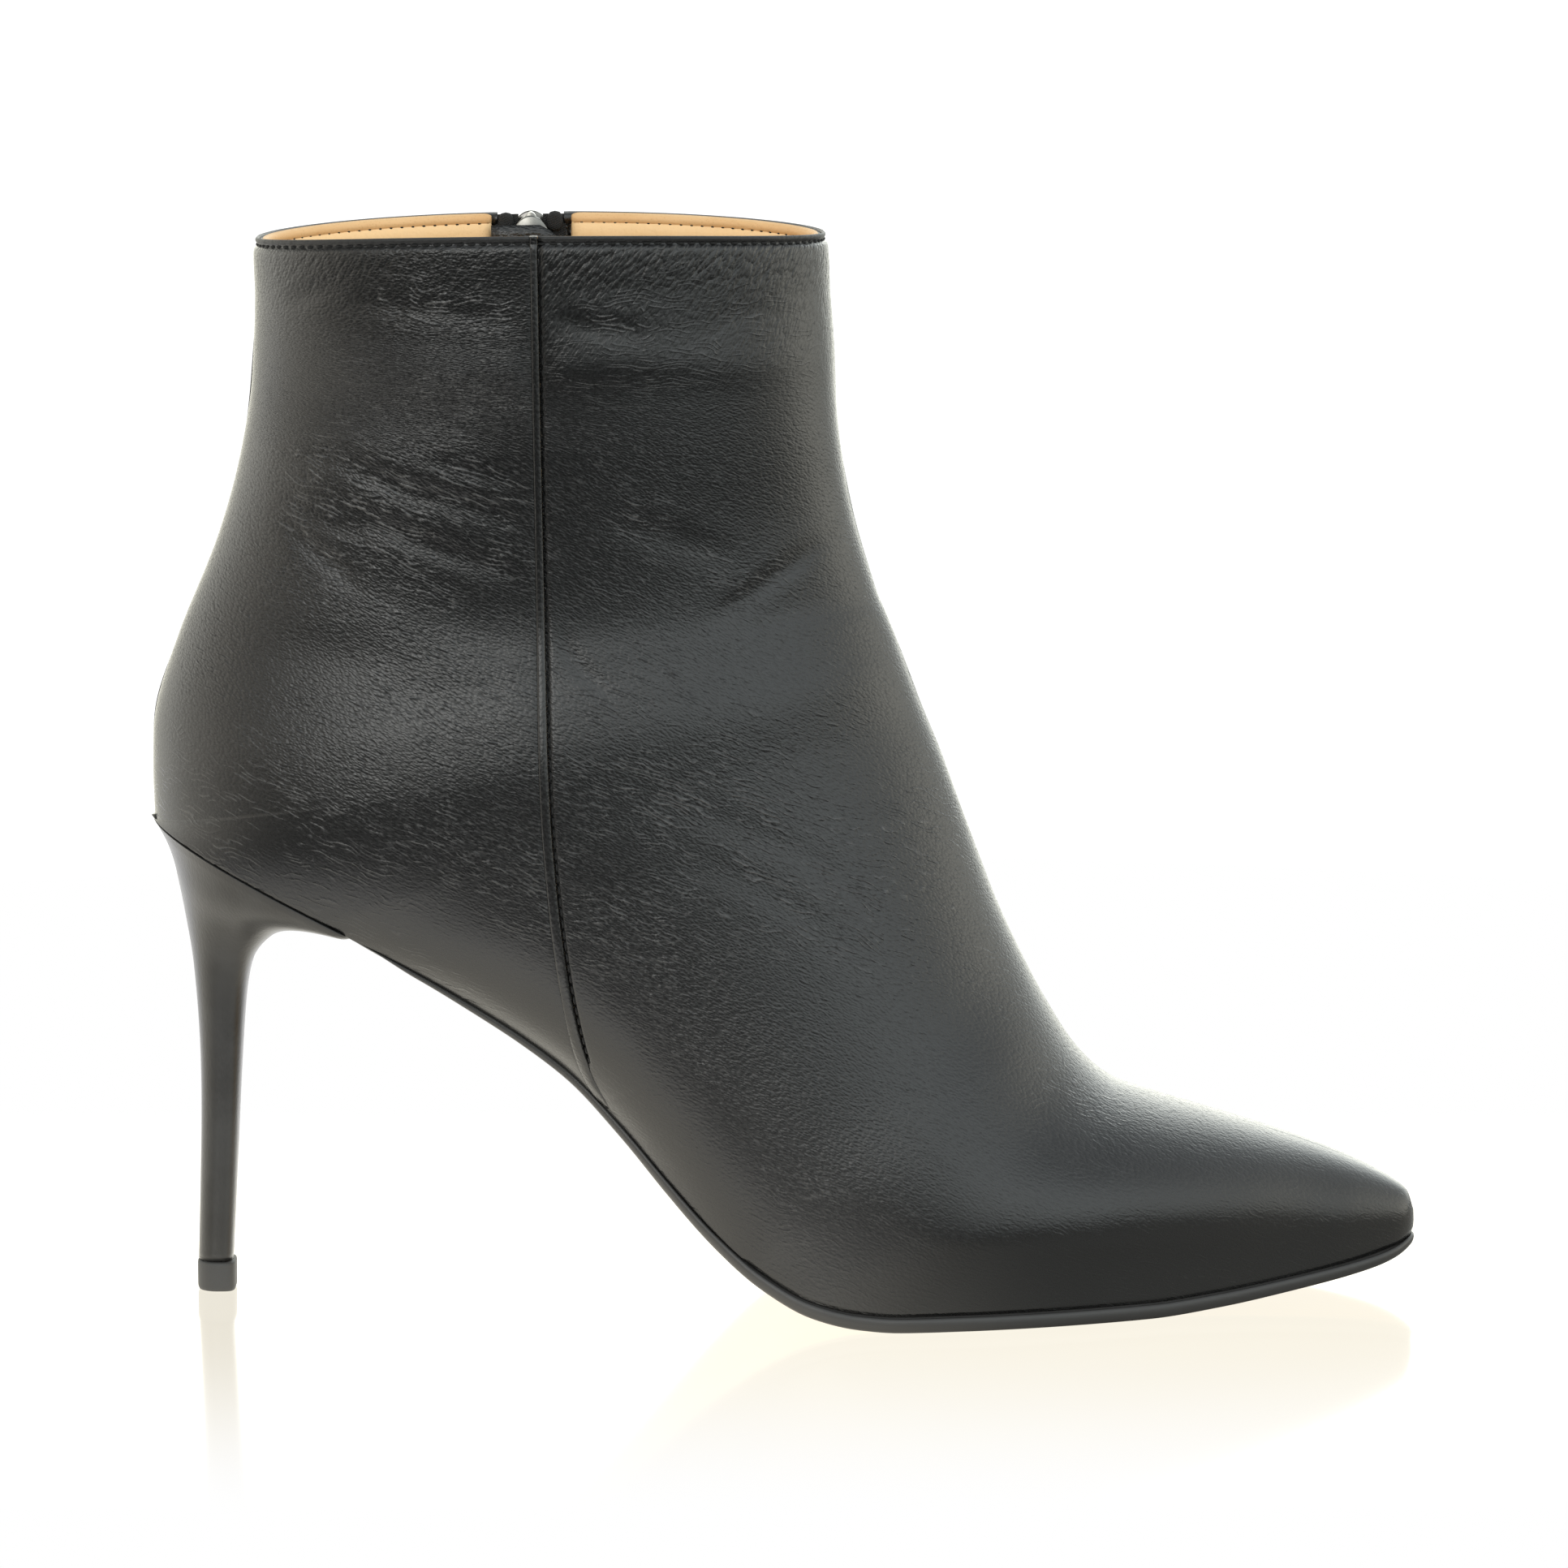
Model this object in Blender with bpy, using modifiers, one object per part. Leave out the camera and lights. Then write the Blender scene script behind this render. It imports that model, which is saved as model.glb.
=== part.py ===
"""Heeled ankle boot for the right foot, as an assembly of named pieces.

The upper is a hollow shell on a last shape: sections fan from the level collar, round the heel,
to the upright toe. The sole, heel, insole and zip follow the same outline, profile and sections.
+X points to the toe, +Y to the inner (medial) side with the zip, +Z is up and the floor is z = 0.
Sizes are in millimetres, and MM turns them into metres when a mesh is made.
"""

import math
from collections import namedtuple

import bmesh
import bpy
from mathutils import Vector

MM = 0.001

BOOT_LENGTH = 234.2
HEEL_SEAT_HEIGHT = 89.5
SEAT_SLOPE = 0.5144
SEAT_HALF_WIDTH = 25.0
SEAT_WIDEST_X = -85.0
SEAT_POWER = 2.3
TOE_TIP_Y = 3.3
NOSE_START_X = 109.0
UPPER_TIP_X = 116.9

WALL = 1.8
GAP = 0.3
SOLE_EXTENSION = 0.8
SOLE_EDGE_ROUND = 0.8
SOLE_REAR_X = -78.6
INSOLE_THICKNESS = 2.2
INSOLE_INSET = 2.9
INSOLE_REST = 0.05
INSOLE_REAR_X = -111.6

SEAM_RAISE = 0.6
SEAM_OFFSETS = (1.3, 0.8, -0.8, -1.3)
ZIP_SHIFT = -2.5
ZIP_SLOT_OFFSETS = (6.2, 2.1, -2.1, -6.2)
ZIP_SLOT_END_T = 9.667
LINE_START_Q = 0.02
LINE_LIMIT_Q = 0.86
SEAM_FADE_Q = 0.84

TAPE_TOP_T = 0.07
TAPE_DEPTH = (0.6, 1.4)
TAPE_INNER = 2.5
TAPE_OUTER = 5.9
CHAIN_TOP_T = 0.5
CHAIN_END_T = 9.42
CHAIN_DEPTH = (-0.1, 2.1)
CHAIN_HALF = 2.2
STOP_END_T = 9.56
STOP_HALF = 2.4
END_GAP_T = 0.03

SLIDER_Z = 192.2
SLIDER_WIDTH = 8.7
SLIDER_HEIGHT = 13.0
PLATE = 1.0
PLATE_FRONT_STAND = 0.5
PLATE_BACK_STAND = 2.5
POST_WIDTH = 2.6
POST_HEIGHT = 4.0
STRAP_WIDTH = 2.0
STRAP_HEIGHT = 7.6
STRAP_THICK = 0.8
PIN_SIZE = 1.3
PIN_CLEARANCE = 0.6
TAB_WIDTH = 6.0
TAB_LENGTH = 25.0
EYE_WIDTH = 3.2
EYE_LENGTH = 4.6
SMALL_BEVEL = 0.25

TOP_PIECE_HEIGHT = 5.5
TOP_PIECE_BEVEL = 0.4

HALF_COLUMNS_FRONT = 8
HALF_COLUMNS_BACK = 8
BACK_COLUMN_EASE = 1.3
COLUMN_STEP_LEAST = 0.004
HEEL_HALF_POINTS = 12
STRIP_ROWS = 16
SOLE_STEPS = 36
SOLE_NOSE_STEPS = 7
INSOLE_SEAT_STEPS = 8
INSOLE_STEPS = 30
INSOLE_NOSE_STEPS = 10
INSOLE_LEAST_WIDTH = 2.0
STATION_CLEARANCE = 1.5
SLOPE_STEP = 0.05
MERGE_DISTANCE = 0.02
SEARCH_STEPS = 40

# Outline of the feather line, where upper and sole meet: half widths from the heel's centre line.
Outline = namedtuple("Outline", "x lateral medial")
OUTLINE = (
    Outline(-85.0, 25.0, 25.0),
    Outline(-70.0, 22.8, 22.0),
    Outline(-55.0, 19.6, 18.0),
    Outline(-42.0, 19.2, 16.6),
    Outline(-30.0, 22.6, 17.6),
    Outline(-18.0, 29.2, 21.6),
    Outline(-6.0, 35.2, 28.4),
    Outline(8.0, 38.6, 35.0),
    Outline(20.0, 38.9, 37.8),
    Outline(32.0, 37.5, 37.4),
    Outline(44.0, 34.9, 35.0),
    Outline(58.0, 30.5, 30.8),
    Outline(74.0, 23.8, 25.4),
    Outline(90.0, 15.9, 19.6),
    Outline(102.0, 9.7, 15.4),
    Outline(109.0, 5.7, 12.3),
)

# Height of the feather line and of the sole's underside along the boot, in front of the heel seat.
Profile = namedtuple("Profile", "x feather sole")
PROFILE = (
    Profile(-79.0, 69.9, 69.0),
    Profile(-66.7, 62.95, 61.45),
    Profile(-57.8, 57.35, 55.45),
    Profile(-48.9, 51.6, 49.4),
    Profile(-40.0, 44.8, 42.4),
    Profile(-31.0, 35.8, 33.1),
    Profile(-22.2, 26.15, 23.15),
    Profile(-13.4, 17.25, 14.15),
    Profile(-4.5, 10.2, 7.1),
    Profile(4.3, 5.65, 2.55),
    Profile(13.1, 3.6, 0.5),
    Profile(20.0, 3.1, 0.0),
    Profile(66.0, 3.1, 0.0),
    Profile(80.0, 3.9, 0.9),
    Profile(94.5, 5.4, 2.6),
    Profile(106.9, 7.1, 4.5),
    Profile(113.0, 8.5, 6.1),
    Profile(117.1, 10.3, 8.0),
)

# Sections of the upper from collar to toe. Each runs from its front (or top) point over its widest
# place to its back (or bottom) point. In front of the heel the back point lies on the feather line,
# so its height comes from PROFILE. rings is the number of mesh steps to the next row.
Section = namedtuple(
    "Section",
    "name front_x front_z wide_x wide_z back_x back_z ridge_y lateral medial front_power back_power"
    " crown rings",
)
SECTIONS = (
    Section("collar", 6.8, 197.2, -45.2, 196.8, -97.2, 196.3, 0.0, 30.0, 30.0, 2.1, 2.2, 1.8, 2),
    Section("shaft_upper", 8.3, 180.0, -45.0, 179.3, -97.7, 178.5, 0.0, 29.9, 29.9, 2.1, 2.2, 0.8, 2),
    Section("shaft_mid", 9.2, 162.0, -45.4, 161.0, -99.7, 160.0, 0.0, 28.4, 28.4, 2.1, 2.2, 0.0, 2),
    Section("shaft_low", 11.9, 146.0, -47.4, 144.0, -104.7, 141.5, 0.0, 26.9, 26.9, 2.0, 2.2, 0.0, 2),
    Section("ankle", 15.9, 132.3, -49.6, 129.0, -112.0, 123.5, 0.0, 26.6, 26.6, 1.95, 2.2, 0.0, 2),
    Section("counter", 18.1, 127.0, -50.4, 119.5, -116.4, 110.5, 0.0, 28.3, 28.3, 1.95, 2.25, 0.0, 1),
    Section("counter_low", 19.9, 122.5, -50.0, 110.7, -117.1, 99.5, 0.0, 30.7, 30.6, 1.9, 2.3, 0.0, 1),
    Section("heel_back", 21.6, 118.0, -47.2, 101.5, -116.9, 89.4, 0.0, 32.2, 31.9, 1.9, 2.3, 0.0, 5),
    Section("seat", 24.6, 110.0, -40.2, 90.2, -85.0, 0.0, 0.0, 32.0, 31.3, 1.85, 2.3, 0.0, 2),
    Section("breast", 27.8, 102.3, -31.0, 80.0, -70.0, 0.0, 0.0, 31.8, 30.6, 1.85, 2.6, 0.0, 3),
    Section("waist", 31.0, 93.8, -21.2, 70.4, -55.0, 0.0, 0.0, 32.2, 30.6, 1.85, 2.6, 0.0, 2),
    Section("waist_low", 34.5, 84.3, -13.0, 60.0, -42.0, 0.0, -0.2, 33.2, 31.0, 1.85, 2.6, 0.0, 2),
    Section("arch", 38.4, 74.0, -5.4, 47.4, -29.0, 0.0, -0.4, 34.8, 32.2, 1.85, 2.6, 0.0, 2),
    Section("arch_low", 42.9, 64.2, 2.6, 33.0, -15.0, 0.0, -0.4, 37.0, 34.4, 1.85, 2.4, 0.0, 2),
    Section("ball_back", 47.9, 54.7, 14.6, 23.0, -1.0, 0.0, -0.4, 39.0, 37.2, 1.9, 2.2, 0.0, 2),
    Section("ball", 53.6, 45.8, 25.9, 17.0, 13.0, 0.0, -0.2, 39.6, 39.0, 1.9, 2.0, 0.0, 2),
    Section("ball_front", 60.2, 39.7, 38.2, 15.5, 27.0, 0.0, 0.2, 38.4, 38.4, 1.95, 2.0, 0.0, 2),
    Section("vamp", 69.0, 36.3, 52.0, 14.6, 43.0, 0.0, 0.8, 34.8, 34.8, 2.0, 2.0, 0.0, 1),
    Section("vamp_low", 79.0, 33.3, 66.1, 13.8, 59.0, 0.0, 1.4, 29.2, 29.8, 2.05, 2.0, 0.0, 1),
    Section("toe", 89.0, 30.1, 80.1, 13.2, 75.0, 0.0, 2.0, 22.4, 24.6, 2.1, 2.0, 0.0, 1),
    Section("toe_low", 98.4, 26.8, 93.1, 12.8, 90.0, 0.0, 2.6, 15.2, 19.6, 2.1, 2.0, 0.0, 1),
    Section("toe_cap", 105.9, 23.7, 103.1, 12.6, 101.5, 0.0, 3.1, 10.0, 15.8, 2.1, 2.0, 0.0, 1),
    Section("toe_tip", 111.4, 21.0, 109.9, 12.6, 109.0, 0.0, 3.3, 6.0, 12.6, 2.1, 2.0, 0.0, 2),
    Section("nose", 115.3, 18.3, 114.6, 12.8, 114.0, 0.0, 3.3, 6.0, 12.6, 2.1, 2.0, 0.0, 3),
    Section("tip", 116.9, 14.2, 117.0, 12.2, 116.9, 0.0, 3.3, 6.0, 12.6, 2.1, 2.0, 0.0, 0),
)
HEEL_ROW = 7
LAST_ROW = len(SECTIONS) - 1

# The side seam as seen from the side; the zip runs along it on the other side of the boot.
SeamPoint = namedtuple("SeamPoint", "z x")
SEAM = (
    SeamPoint(38.0, -33.4),
    SeamPoint(40.6, -34.8),
    SeamPoint(44.7, -36.7),
    SeamPoint(52.9, -38.9),
    SeamPoint(64.9, -41.0),
    SeamPoint(79.8, -42.7),
    SeamPoint(94.7, -43.8),
    SeamPoint(109.5, -44.3),
    SeamPoint(153.7, -45.0),
    SeamPoint(200.0, -45.5),
)

# Heel block from its seat to its tip, each section from the breast to the back.
HeelSection = namedtuple("HeelSection", "front_x front_z back_x back_z half widest front_power back_power")
HEEL = (
    HeelSection(-79.2, 69.7, -117.1, 89.2, 25.2, 0.15, 6.0, 2.3),
    HeelSection(-79.6, 69.0, -115.7, 87.2, 24.5, 0.18, 6.0, 2.3),
    HeelSection(-83.6, 69.8, -113.9, 83.0, 22.7, 0.25, 5.0, 2.2),
    HeelSection(-88.6, 70.1, -112.8, 78.2, 19.6, 0.30, 4.5, 2.2),
    HeelSection(-93.0, 69.3, -111.9, 73.2, 15.4, 0.34, 4.0, 2.1),
    HeelSection(-96.4, 66.6, -111.1, 68.4, 11.8, 0.38, 3.6, 2.1),
    HeelSection(-98.9, 63.2, -110.4, 64.0, 9.2, 0.42, 3.4, 2.1),
    HeelSection(-100.3, 57.5, -109.8, 57.5, 7.3, 0.45, 3.2, 2.1),
    HeelSection(-101.1, 48.0, -109.2, 48.0, 5.9, 0.45, 3.2, 2.1),
    HeelSection(-101.8, 36.3, -109.0, 36.3, 5.0, 0.45, 3.2, 2.1),
    HeelSection(-102.6, 20.9, -109.4, 20.9, 4.4, 0.45, 3.2, 2.1),
    HeelSection(-103.4, 5.8, -109.9, 5.8, 4.1, 0.45, 3.2, 2.1),
)
TOP_PIECE = HeelSection(-102.9, 0.0, -110.1, 0.0, 4.5, 0.45, 4.0, 2.1)

# The rounded sole edge: how far each point stands in from the edge and how high it lies.
EdgePoint = namedtuple("EdgePoint", "inset height")
SOLE_EDGE = (
    EdgePoint(1.0, 1.0),
    EdgePoint(0.3, 0.85),
    EdgePoint(0.0, 0.5),
    EdgePoint(0.3, 0.15),
    EdgePoint(1.0, 0.0),
)
INSOLE_EDGE = (EdgePoint(0.0, 1.0), EdgePoint(0.0, 0.0))

LATERAL = -1
MEDIAL = 1


def smooth_table(rows, key, column, at):
    """Value of a table's column at a place, without overshoot between its rows."""
    keys = [getattr(row, key) for row in rows]
    values = [getattr(row, column) for row in rows]
    if at <= keys[0]:
        return values[0]
    if at >= keys[-1]:
        return values[-1]
    low = max(i for i in range(len(keys) - 1) if keys[i] <= at)
    slopes = [(values[i + 1] - values[i]) / (keys[i + 1] - keys[i]) for i in range(len(keys) - 1)]

    def tangent(i):
        if i == 0:
            return slopes[0]
        if i == len(slopes):
            return slopes[-1]
        before, after = slopes[i - 1], slopes[i]
        if before * after <= 0.0:
            return 0.0
        return 2.0 * before * after / (before + after)

    span = keys[low + 1] - keys[low]
    return hermite(values[low], values[low + 1], tangent(low) * span, tangent(low + 1) * span,
                   (at - keys[low]) / span)


def hermite(start, end, start_slope, end_slope, part):
    """Cubic between two values with given slopes."""
    square = part * part
    cube = square * part
    return (
        (2 * cube - 3 * square + 1) * start
        + (cube - 2 * square + part) * start_slope
        + (3 * square - 2 * cube) * end
        + (cube - square) * end_slope
    )


def section_value(column, t):
    """A section column at the running row number t; the back line comes to rest at the heel's corner."""
    values = [getattr(row, column) for row in SECTIONS]
    low = min(int(t), LAST_ROW - 1)
    first, last = 0, LAST_ROW
    if column in ("back_x", "back_z"):
        first, last = (0, HEEL_ROW) if low < HEEL_ROW else (HEEL_ROW, LAST_ROW)

    def slope(i):
        if i == HEEL_ROW and (first, last) != (0, LAST_ROW):
            return 0.0
        before, after = max(i - 1, first), min(i + 1, last)
        return (values[after] - values[before]) / (after - before)

    return hermite(values[low], values[low + 1], slope(low), slope(low + 1), t - low)


def outline_half(x, side):
    """Half width of the feather line on one side, from the heel's centre line."""
    if x < SEAT_WIDEST_X:
        reach = min(1.0, (SEAT_WIDEST_X - x) / (SEAT_WIDEST_X + BOOT_LENGTH / 2))
        return SEAT_HALF_WIDTH * (1.0 - reach ** SEAT_POWER) ** (1.0 / SEAT_POWER)
    column = "lateral" if side == LATERAL else "medial"
    half = smooth_table(OUTLINE, "x", column, x)
    if x > NOSE_START_X:
        centre = side * TOE_TIP_Y
        half = centre + (half - centre) * nose_factor(x, BOOT_LENGTH / 2)
    return half


def nose_factor(x, tip_x):
    """How the toe's width shrinks to its rounded tip."""
    return math.sqrt(max(0.0, (tip_x - x) / (tip_x - NOSE_START_X)))


def feather_height(x):
    """Height of the feather line; a straight slope along the heel seat."""
    if x < PROFILE[0].x:
        return HEEL_SEAT_HEIGHT - SEAT_SLOPE * (x + BOOT_LENGTH / 2)
    return smooth_table(PROFILE, "x", "feather", x)


def upper_point(t, side, q):
    """Point of the upper's outer face: q runs from the front ridge (0) to the back or feather (1)."""
    front_x, front_z = section_value("front_x", t), section_value("front_z", t)
    back_x, back_z = section_value("back_x", t), section_value("back_z", t)
    ridge = section_value("ridge_y", t)
    half = section_value("lateral" if side == LATERAL else "medial", t) - side * ridge
    base = 0.0
    if t > HEEL_ROW:
        back_z = feather_height(back_x)
        base = outline_half(min(back_x, NOSE_START_X), side) - side * ridge
    if back_x > NOSE_START_X:
        half *= nose_factor(back_x, UPPER_TIP_X)
        base *= nose_factor(back_x, UPPER_TIP_X)
    wide_x, wide_z = section_value("wide_x", t), section_value("wide_z", t)
    if q <= 0.5:
        power = section_value("front_power", t)
        angle = math.pi * q
        along = 1.0 - max(0.0, math.cos(angle)) ** (2.0 / power)
        out = half * math.sin(angle) ** (2.0 / power)
        x = front_x + along * (wide_x - front_x)
        z = front_z + along * (wide_z - front_z)
    else:
        along = 2.0 * q - 1.0
        if 0.0 < half <= base:
            out = half + (base - half) * along * along
        else:
            power = section_value("back_power", t)
            openness = base / half if half > 0.0 else 0.0
            reach = (1.0 - openness ** power) ** (1.0 / power)
            angle = along * math.acos(openness ** (power / 2.0))
            along = math.sin(angle) ** (2.0 / power) / reach
            out = half * max(0.0, math.cos(angle)) ** (2.0 / power)
        x = wide_x + along * (back_x - wide_x)
        z = wide_z + along * (back_z - wide_z)
    if half > 0.0:
        z += section_value("crown", t) * (out / half) ** 2
    return Vector((x, ridge + side * out, z))


def upper_normal(t, side, q):
    """Outward direction of the upper's outer face."""
    step = 0.01
    t_low, t_high = max(0.0, t - step), min(float(LAST_ROW), t + step)
    along = upper_point(t_high, side, q) - upper_point(t_low, side, q)
    around = upper_point(t, side, min(1.0, q + step)) - upper_point(t, side, max(0.0, q - step))
    normal = along.cross(around) * side
    return normal.normalized()


def seam_x(z):
    """Where the side seam runs at a height."""
    return smooth_table(SEAM, "z", "x", z)


def line_q(t, side, offset):
    """Place q where a section crosses the seam (or zip) line, held short of the sole."""
    shift = ZIP_SHIFT if side == MEDIAL else 0.0
    low, high = LINE_START_Q, LINE_LIMIT_Q
    for _ in range(SEARCH_STEPS):
        middle = (low + high) / 2
        point = upper_point(t, side, middle)
        if point.x > seam_x(point.z) + shift + offset:
            low = middle
        else:
            high = middle
    return (low + high) / 2


def ring_rows():
    """Running row numbers of the upper's rings, closer together towards the tip."""
    rows = []
    for index, section in enumerate(SECTIONS[:-1]):
        for step in range(section.rings):
            part = step / section.rings
            if section.name == "nose":
                part = 1.0 - (1.0 - part) ** 2
            rows.append(index + part)
    rows.append(float(LAST_ROW))
    return rows


def column_places(t, side):
    """Places q of the mesh columns on one section, with four of them on the seam or the zip slot."""
    offsets = SEAM_OFFSETS if side == LATERAL else ZIP_SLOT_OFFSETS
    lines = [line_q(t, side, offset) for offset in offsets]
    for i in range(1, len(lines)):
        lines[i] = max(lines[i], lines[i - 1] + COLUMN_STEP_LEAST)
    front = [lines[0] * i / HALF_COLUMNS_FRONT for i in range(HALF_COLUMNS_FRONT)]
    rest = 1.0 - lines[-1]
    eased = [(1.0 - i / HALF_COLUMNS_BACK) ** BACK_COLUMN_EASE for i in range(1, HALF_COLUMNS_BACK + 1)]
    back = [1.0 - rest * part for part in eased]
    return front + lines + back


def new_object(name, mesh, collection, material=None):
    """Object in a collection, with its material."""
    item = bpy.data.objects.new(name, mesh)
    collection.objects.link(item)
    if material is not None:
        mesh.materials.append(material)
    return item


def finish_mesh(name, shape, recalculate=True):
    """Mesh data from a working shape in millimetres."""
    bmesh.ops.remove_doubles(shape, verts=shape.verts, dist=MERGE_DISTANCE)
    if recalculate:
        bmesh.ops.recalc_face_normals(shape, faces=shape.faces)
    bmesh.ops.scale(shape, vec=(MM, MM, MM), verts=shape.verts)
    mesh = bpy.data.meshes.new(name)
    shape.to_mesh(mesh)
    shape.free()
    return mesh


def loft(name, loops):
    """Closed solid through loops with equal point counts, capped at both ends."""
    shape = bmesh.new()
    rings = [[shape.verts.new(point) for point in loop] for loop in loops]
    count = len(rings[0])
    for ring, following in zip(rings, rings[1:]):
        for i in range(count):
            k = (i + 1) % count
            shape.faces.new((ring[i], ring[k], following[k], following[i]))
    shape.faces.new(rings[0])
    shape.faces.new(rings[-1])
    return finish_mesh(name, shape)


def upper_mesh():
    """Outer face of the upper, open at the collar, underneath and along the zip slot."""
    shape = bmesh.new()
    rows = ring_rows()
    slot_first = HALF_COLUMNS_FRONT
    slot_last = HALF_COLUMNS_FRONT + len(ZIP_SLOT_OFFSETS) - 1
    for side in (LATERAL, MEDIAL):
        grid = []
        for t in rows:
            places = column_places(t, side)
            line = []
            for column, q in enumerate(places):
                point = upper_point(t, side, q)
                on_seam = slot_first < column < slot_last
                if side == LATERAL and on_seam and q < SEAM_FADE_Q:
                    point += upper_normal(t, side, q) * SEAM_RAISE
                line.append(shape.verts.new(point))
            grid.append(line)
        for i in range(len(rows) - 1):
            for j in range(len(grid[0]) - 1):
                in_slot = slot_first <= j < slot_last and rows[i + 1] <= ZIP_SLOT_END_T
                if side == MEDIAL and in_slot:
                    continue
                corners = (grid[i][j], grid[i + 1][j], grid[i + 1][j + 1], grid[i][j + 1])
                shape.faces.new(corners if side == MEDIAL else corners[::-1])
    return finish_mesh("upper", shape, recalculate=False)


def heel_loop(section):
    """Closed loop of one heel section: flat breast in front, round at the back."""
    half_loop = []
    for i in range(HEEL_HALF_POINTS + 1):
        q = i / HEEL_HALF_POINTS
        if q <= 0.5:
            angle = math.pi * q
            power = 2.0 / section.front_power
            along = section.widest * (1.0 - max(0.0, math.cos(angle)) ** power)
            out = section.half * math.sin(angle) ** power
        else:
            angle = math.pi * (q - 0.5)
            power = 2.0 / section.back_power
            along = section.widest + (1.0 - section.widest) * math.sin(angle) ** power
            out = section.half * max(0.0, math.cos(angle)) ** power
        x = section.front_x + along * (section.back_x - section.front_x)
        z = section.front_z + along * (section.back_z - section.front_z)
        half_loop.append((x, out, z))
    mirrored = [(x, -y, z) for x, y, z in half_loop[-2:0:-1]]
    return half_loop + mirrored


def heel_mesh():
    """The heel block as a loft from its seat to its tip."""
    return loft("heel", [heel_loop(section) for section in HEEL])


def top_piece_mesh():
    """The wearing piece under the heel tip."""
    lower = heel_loop(TOP_PIECE)
    raised = [(x, y, z + TOP_PIECE_HEIGHT) for x, y, z in lower]
    return loft("heel_top_piece", [lower, raised])


def plate_loop(x, lateral, medial, bottom, top, edge, rounding):
    """Closed loop across a sole-like plate at one place along the boot."""
    height = top - bottom
    medial_side = [(x, medial - p.inset * rounding, bottom + p.height * height) for p in edge]
    lateral_side = [(x, p.inset * rounding - lateral, bottom + p.height * height) for p in edge]
    middle = (medial - lateral) / 2
    return medial_side + [(x, middle, bottom)] + lateral_side[::-1] + [(x, middle, top)]


def sole_stations():
    """Places along the sole, closer together at the rounded toe."""
    length = NOSE_START_X - SOLE_REAR_X
    body = [SOLE_REAR_X + length * i / SOLE_STEPS for i in range(SOLE_STEPS)]
    flat = [row.x for row in PROFILE if row.sole == 0.0]
    body = [x for x in body if min(abs(x - end) for end in flat) > STATION_CLEARANCE] + flat
    nose_length = BOOT_LENGTH / 2 - NOSE_START_X
    parts = [1.0 - i / SOLE_NOSE_STEPS for i in range(SOLE_NOSE_STEPS + 1)]
    nose = [BOOT_LENGTH / 2 - nose_length * part ** 2 for part in parts]
    return sorted(body) + nose


def outsole_mesh():
    """The thin sole, following outline, arch, tread flat and toe spring."""
    loops = []
    for x in sole_stations():
        lateral = outline_half(x, LATERAL) + SOLE_EXTENSION
        medial = outline_half(x, MEDIAL) + SOLE_EXTENSION
        bottom = smooth_table(PROFILE, "x", "sole", x)
        rounding = min(SOLE_EDGE_ROUND, (lateral + medial) / 4)
        loops.append(plate_loop(x, lateral, medial, bottom, feather_height(x) - GAP, SOLE_EDGE, rounding))
    return loft("outsole", loops)


def inset_half(x, side):
    """Half width of the insole: the outline moved in square to its edge."""
    slope = (outline_half(x + SLOPE_STEP, side) - outline_half(x - SLOPE_STEP, side)) / (2 * SLOPE_STEP)
    return outline_half(x, side) - INSOLE_INSET * math.sqrt(1.0 + slope * slope)


def insole_stations():
    """Places along the insole, closer together at both round ends."""
    seat_length = SEAT_WIDEST_X - INSOLE_REAR_X
    angles = [math.pi / 2 * i / INSOLE_SEAT_STEPS for i in range(INSOLE_SEAT_STEPS)]
    seat = [SEAT_WIDEST_X - seat_length * math.cos(angle) for angle in angles]
    body_length = NOSE_START_X - SEAT_WIDEST_X
    body = [SEAT_WIDEST_X + body_length * i / INSOLE_STEPS for i in range(INSOLE_STEPS)]
    nose_length = BOOT_LENGTH / 2 - NOSE_START_X
    parts = [1.0 - i / INSOLE_NOSE_STEPS for i in range(INSOLE_NOSE_STEPS)]
    nose = [BOOT_LENGTH / 2 - nose_length * part ** 2 for part in parts]
    return seat + body + nose


def insole_mesh():
    """The insole board, inside the upper and on the sole and heel seat."""
    loops = []
    for x in insole_stations():
        lateral, medial = inset_half(x, LATERAL), inset_half(x, MEDIAL)
        if lateral + medial < INSOLE_LEAST_WIDTH:
            continue
        bottom = feather_height(x) + INSOLE_REST
        loops.append(plate_loop(x, lateral, medial, bottom, bottom + INSOLE_THICKNESS, INSOLE_EDGE, 0.0))
    return loft("insole", loops)


def zip_surface(t, offset, depth):
    """Point at a depth under the upper's outer face, beside the zip's centre line."""
    q = line_q(t, MEDIAL, offset)
    return upper_point(t, MEDIAL, q) - upper_normal(t, MEDIAL, q) * depth


def zip_strip_mesh(name, span_t, offsets, depths):
    """Strip that follows the upper along the zip between two side offsets and two depths."""
    loops = []
    for i in range(STRIP_ROWS + 1):
        t = span_t[0] + (span_t[1] - span_t[0]) * i / STRIP_ROWS
        loops.append([
            zip_surface(t, offsets[0], depths[0]),
            zip_surface(t, offsets[1], depths[0]),
            zip_surface(t, offsets[1], depths[1]),
            zip_surface(t, offsets[0], depths[1]),
        ])
    return loft(name, loops)


def slider_place():
    """Point on the upper's outer face behind the slider's middle."""
    low, high = 0.0, 1.0
    for _ in range(SEARCH_STEPS):
        middle = (low + high) / 2
        if zip_surface(middle, 0.0, 0.0).z > SLIDER_Z:
            low = middle
        else:
            high = middle
    return zip_surface(low, 0.0, 0.0)


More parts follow.
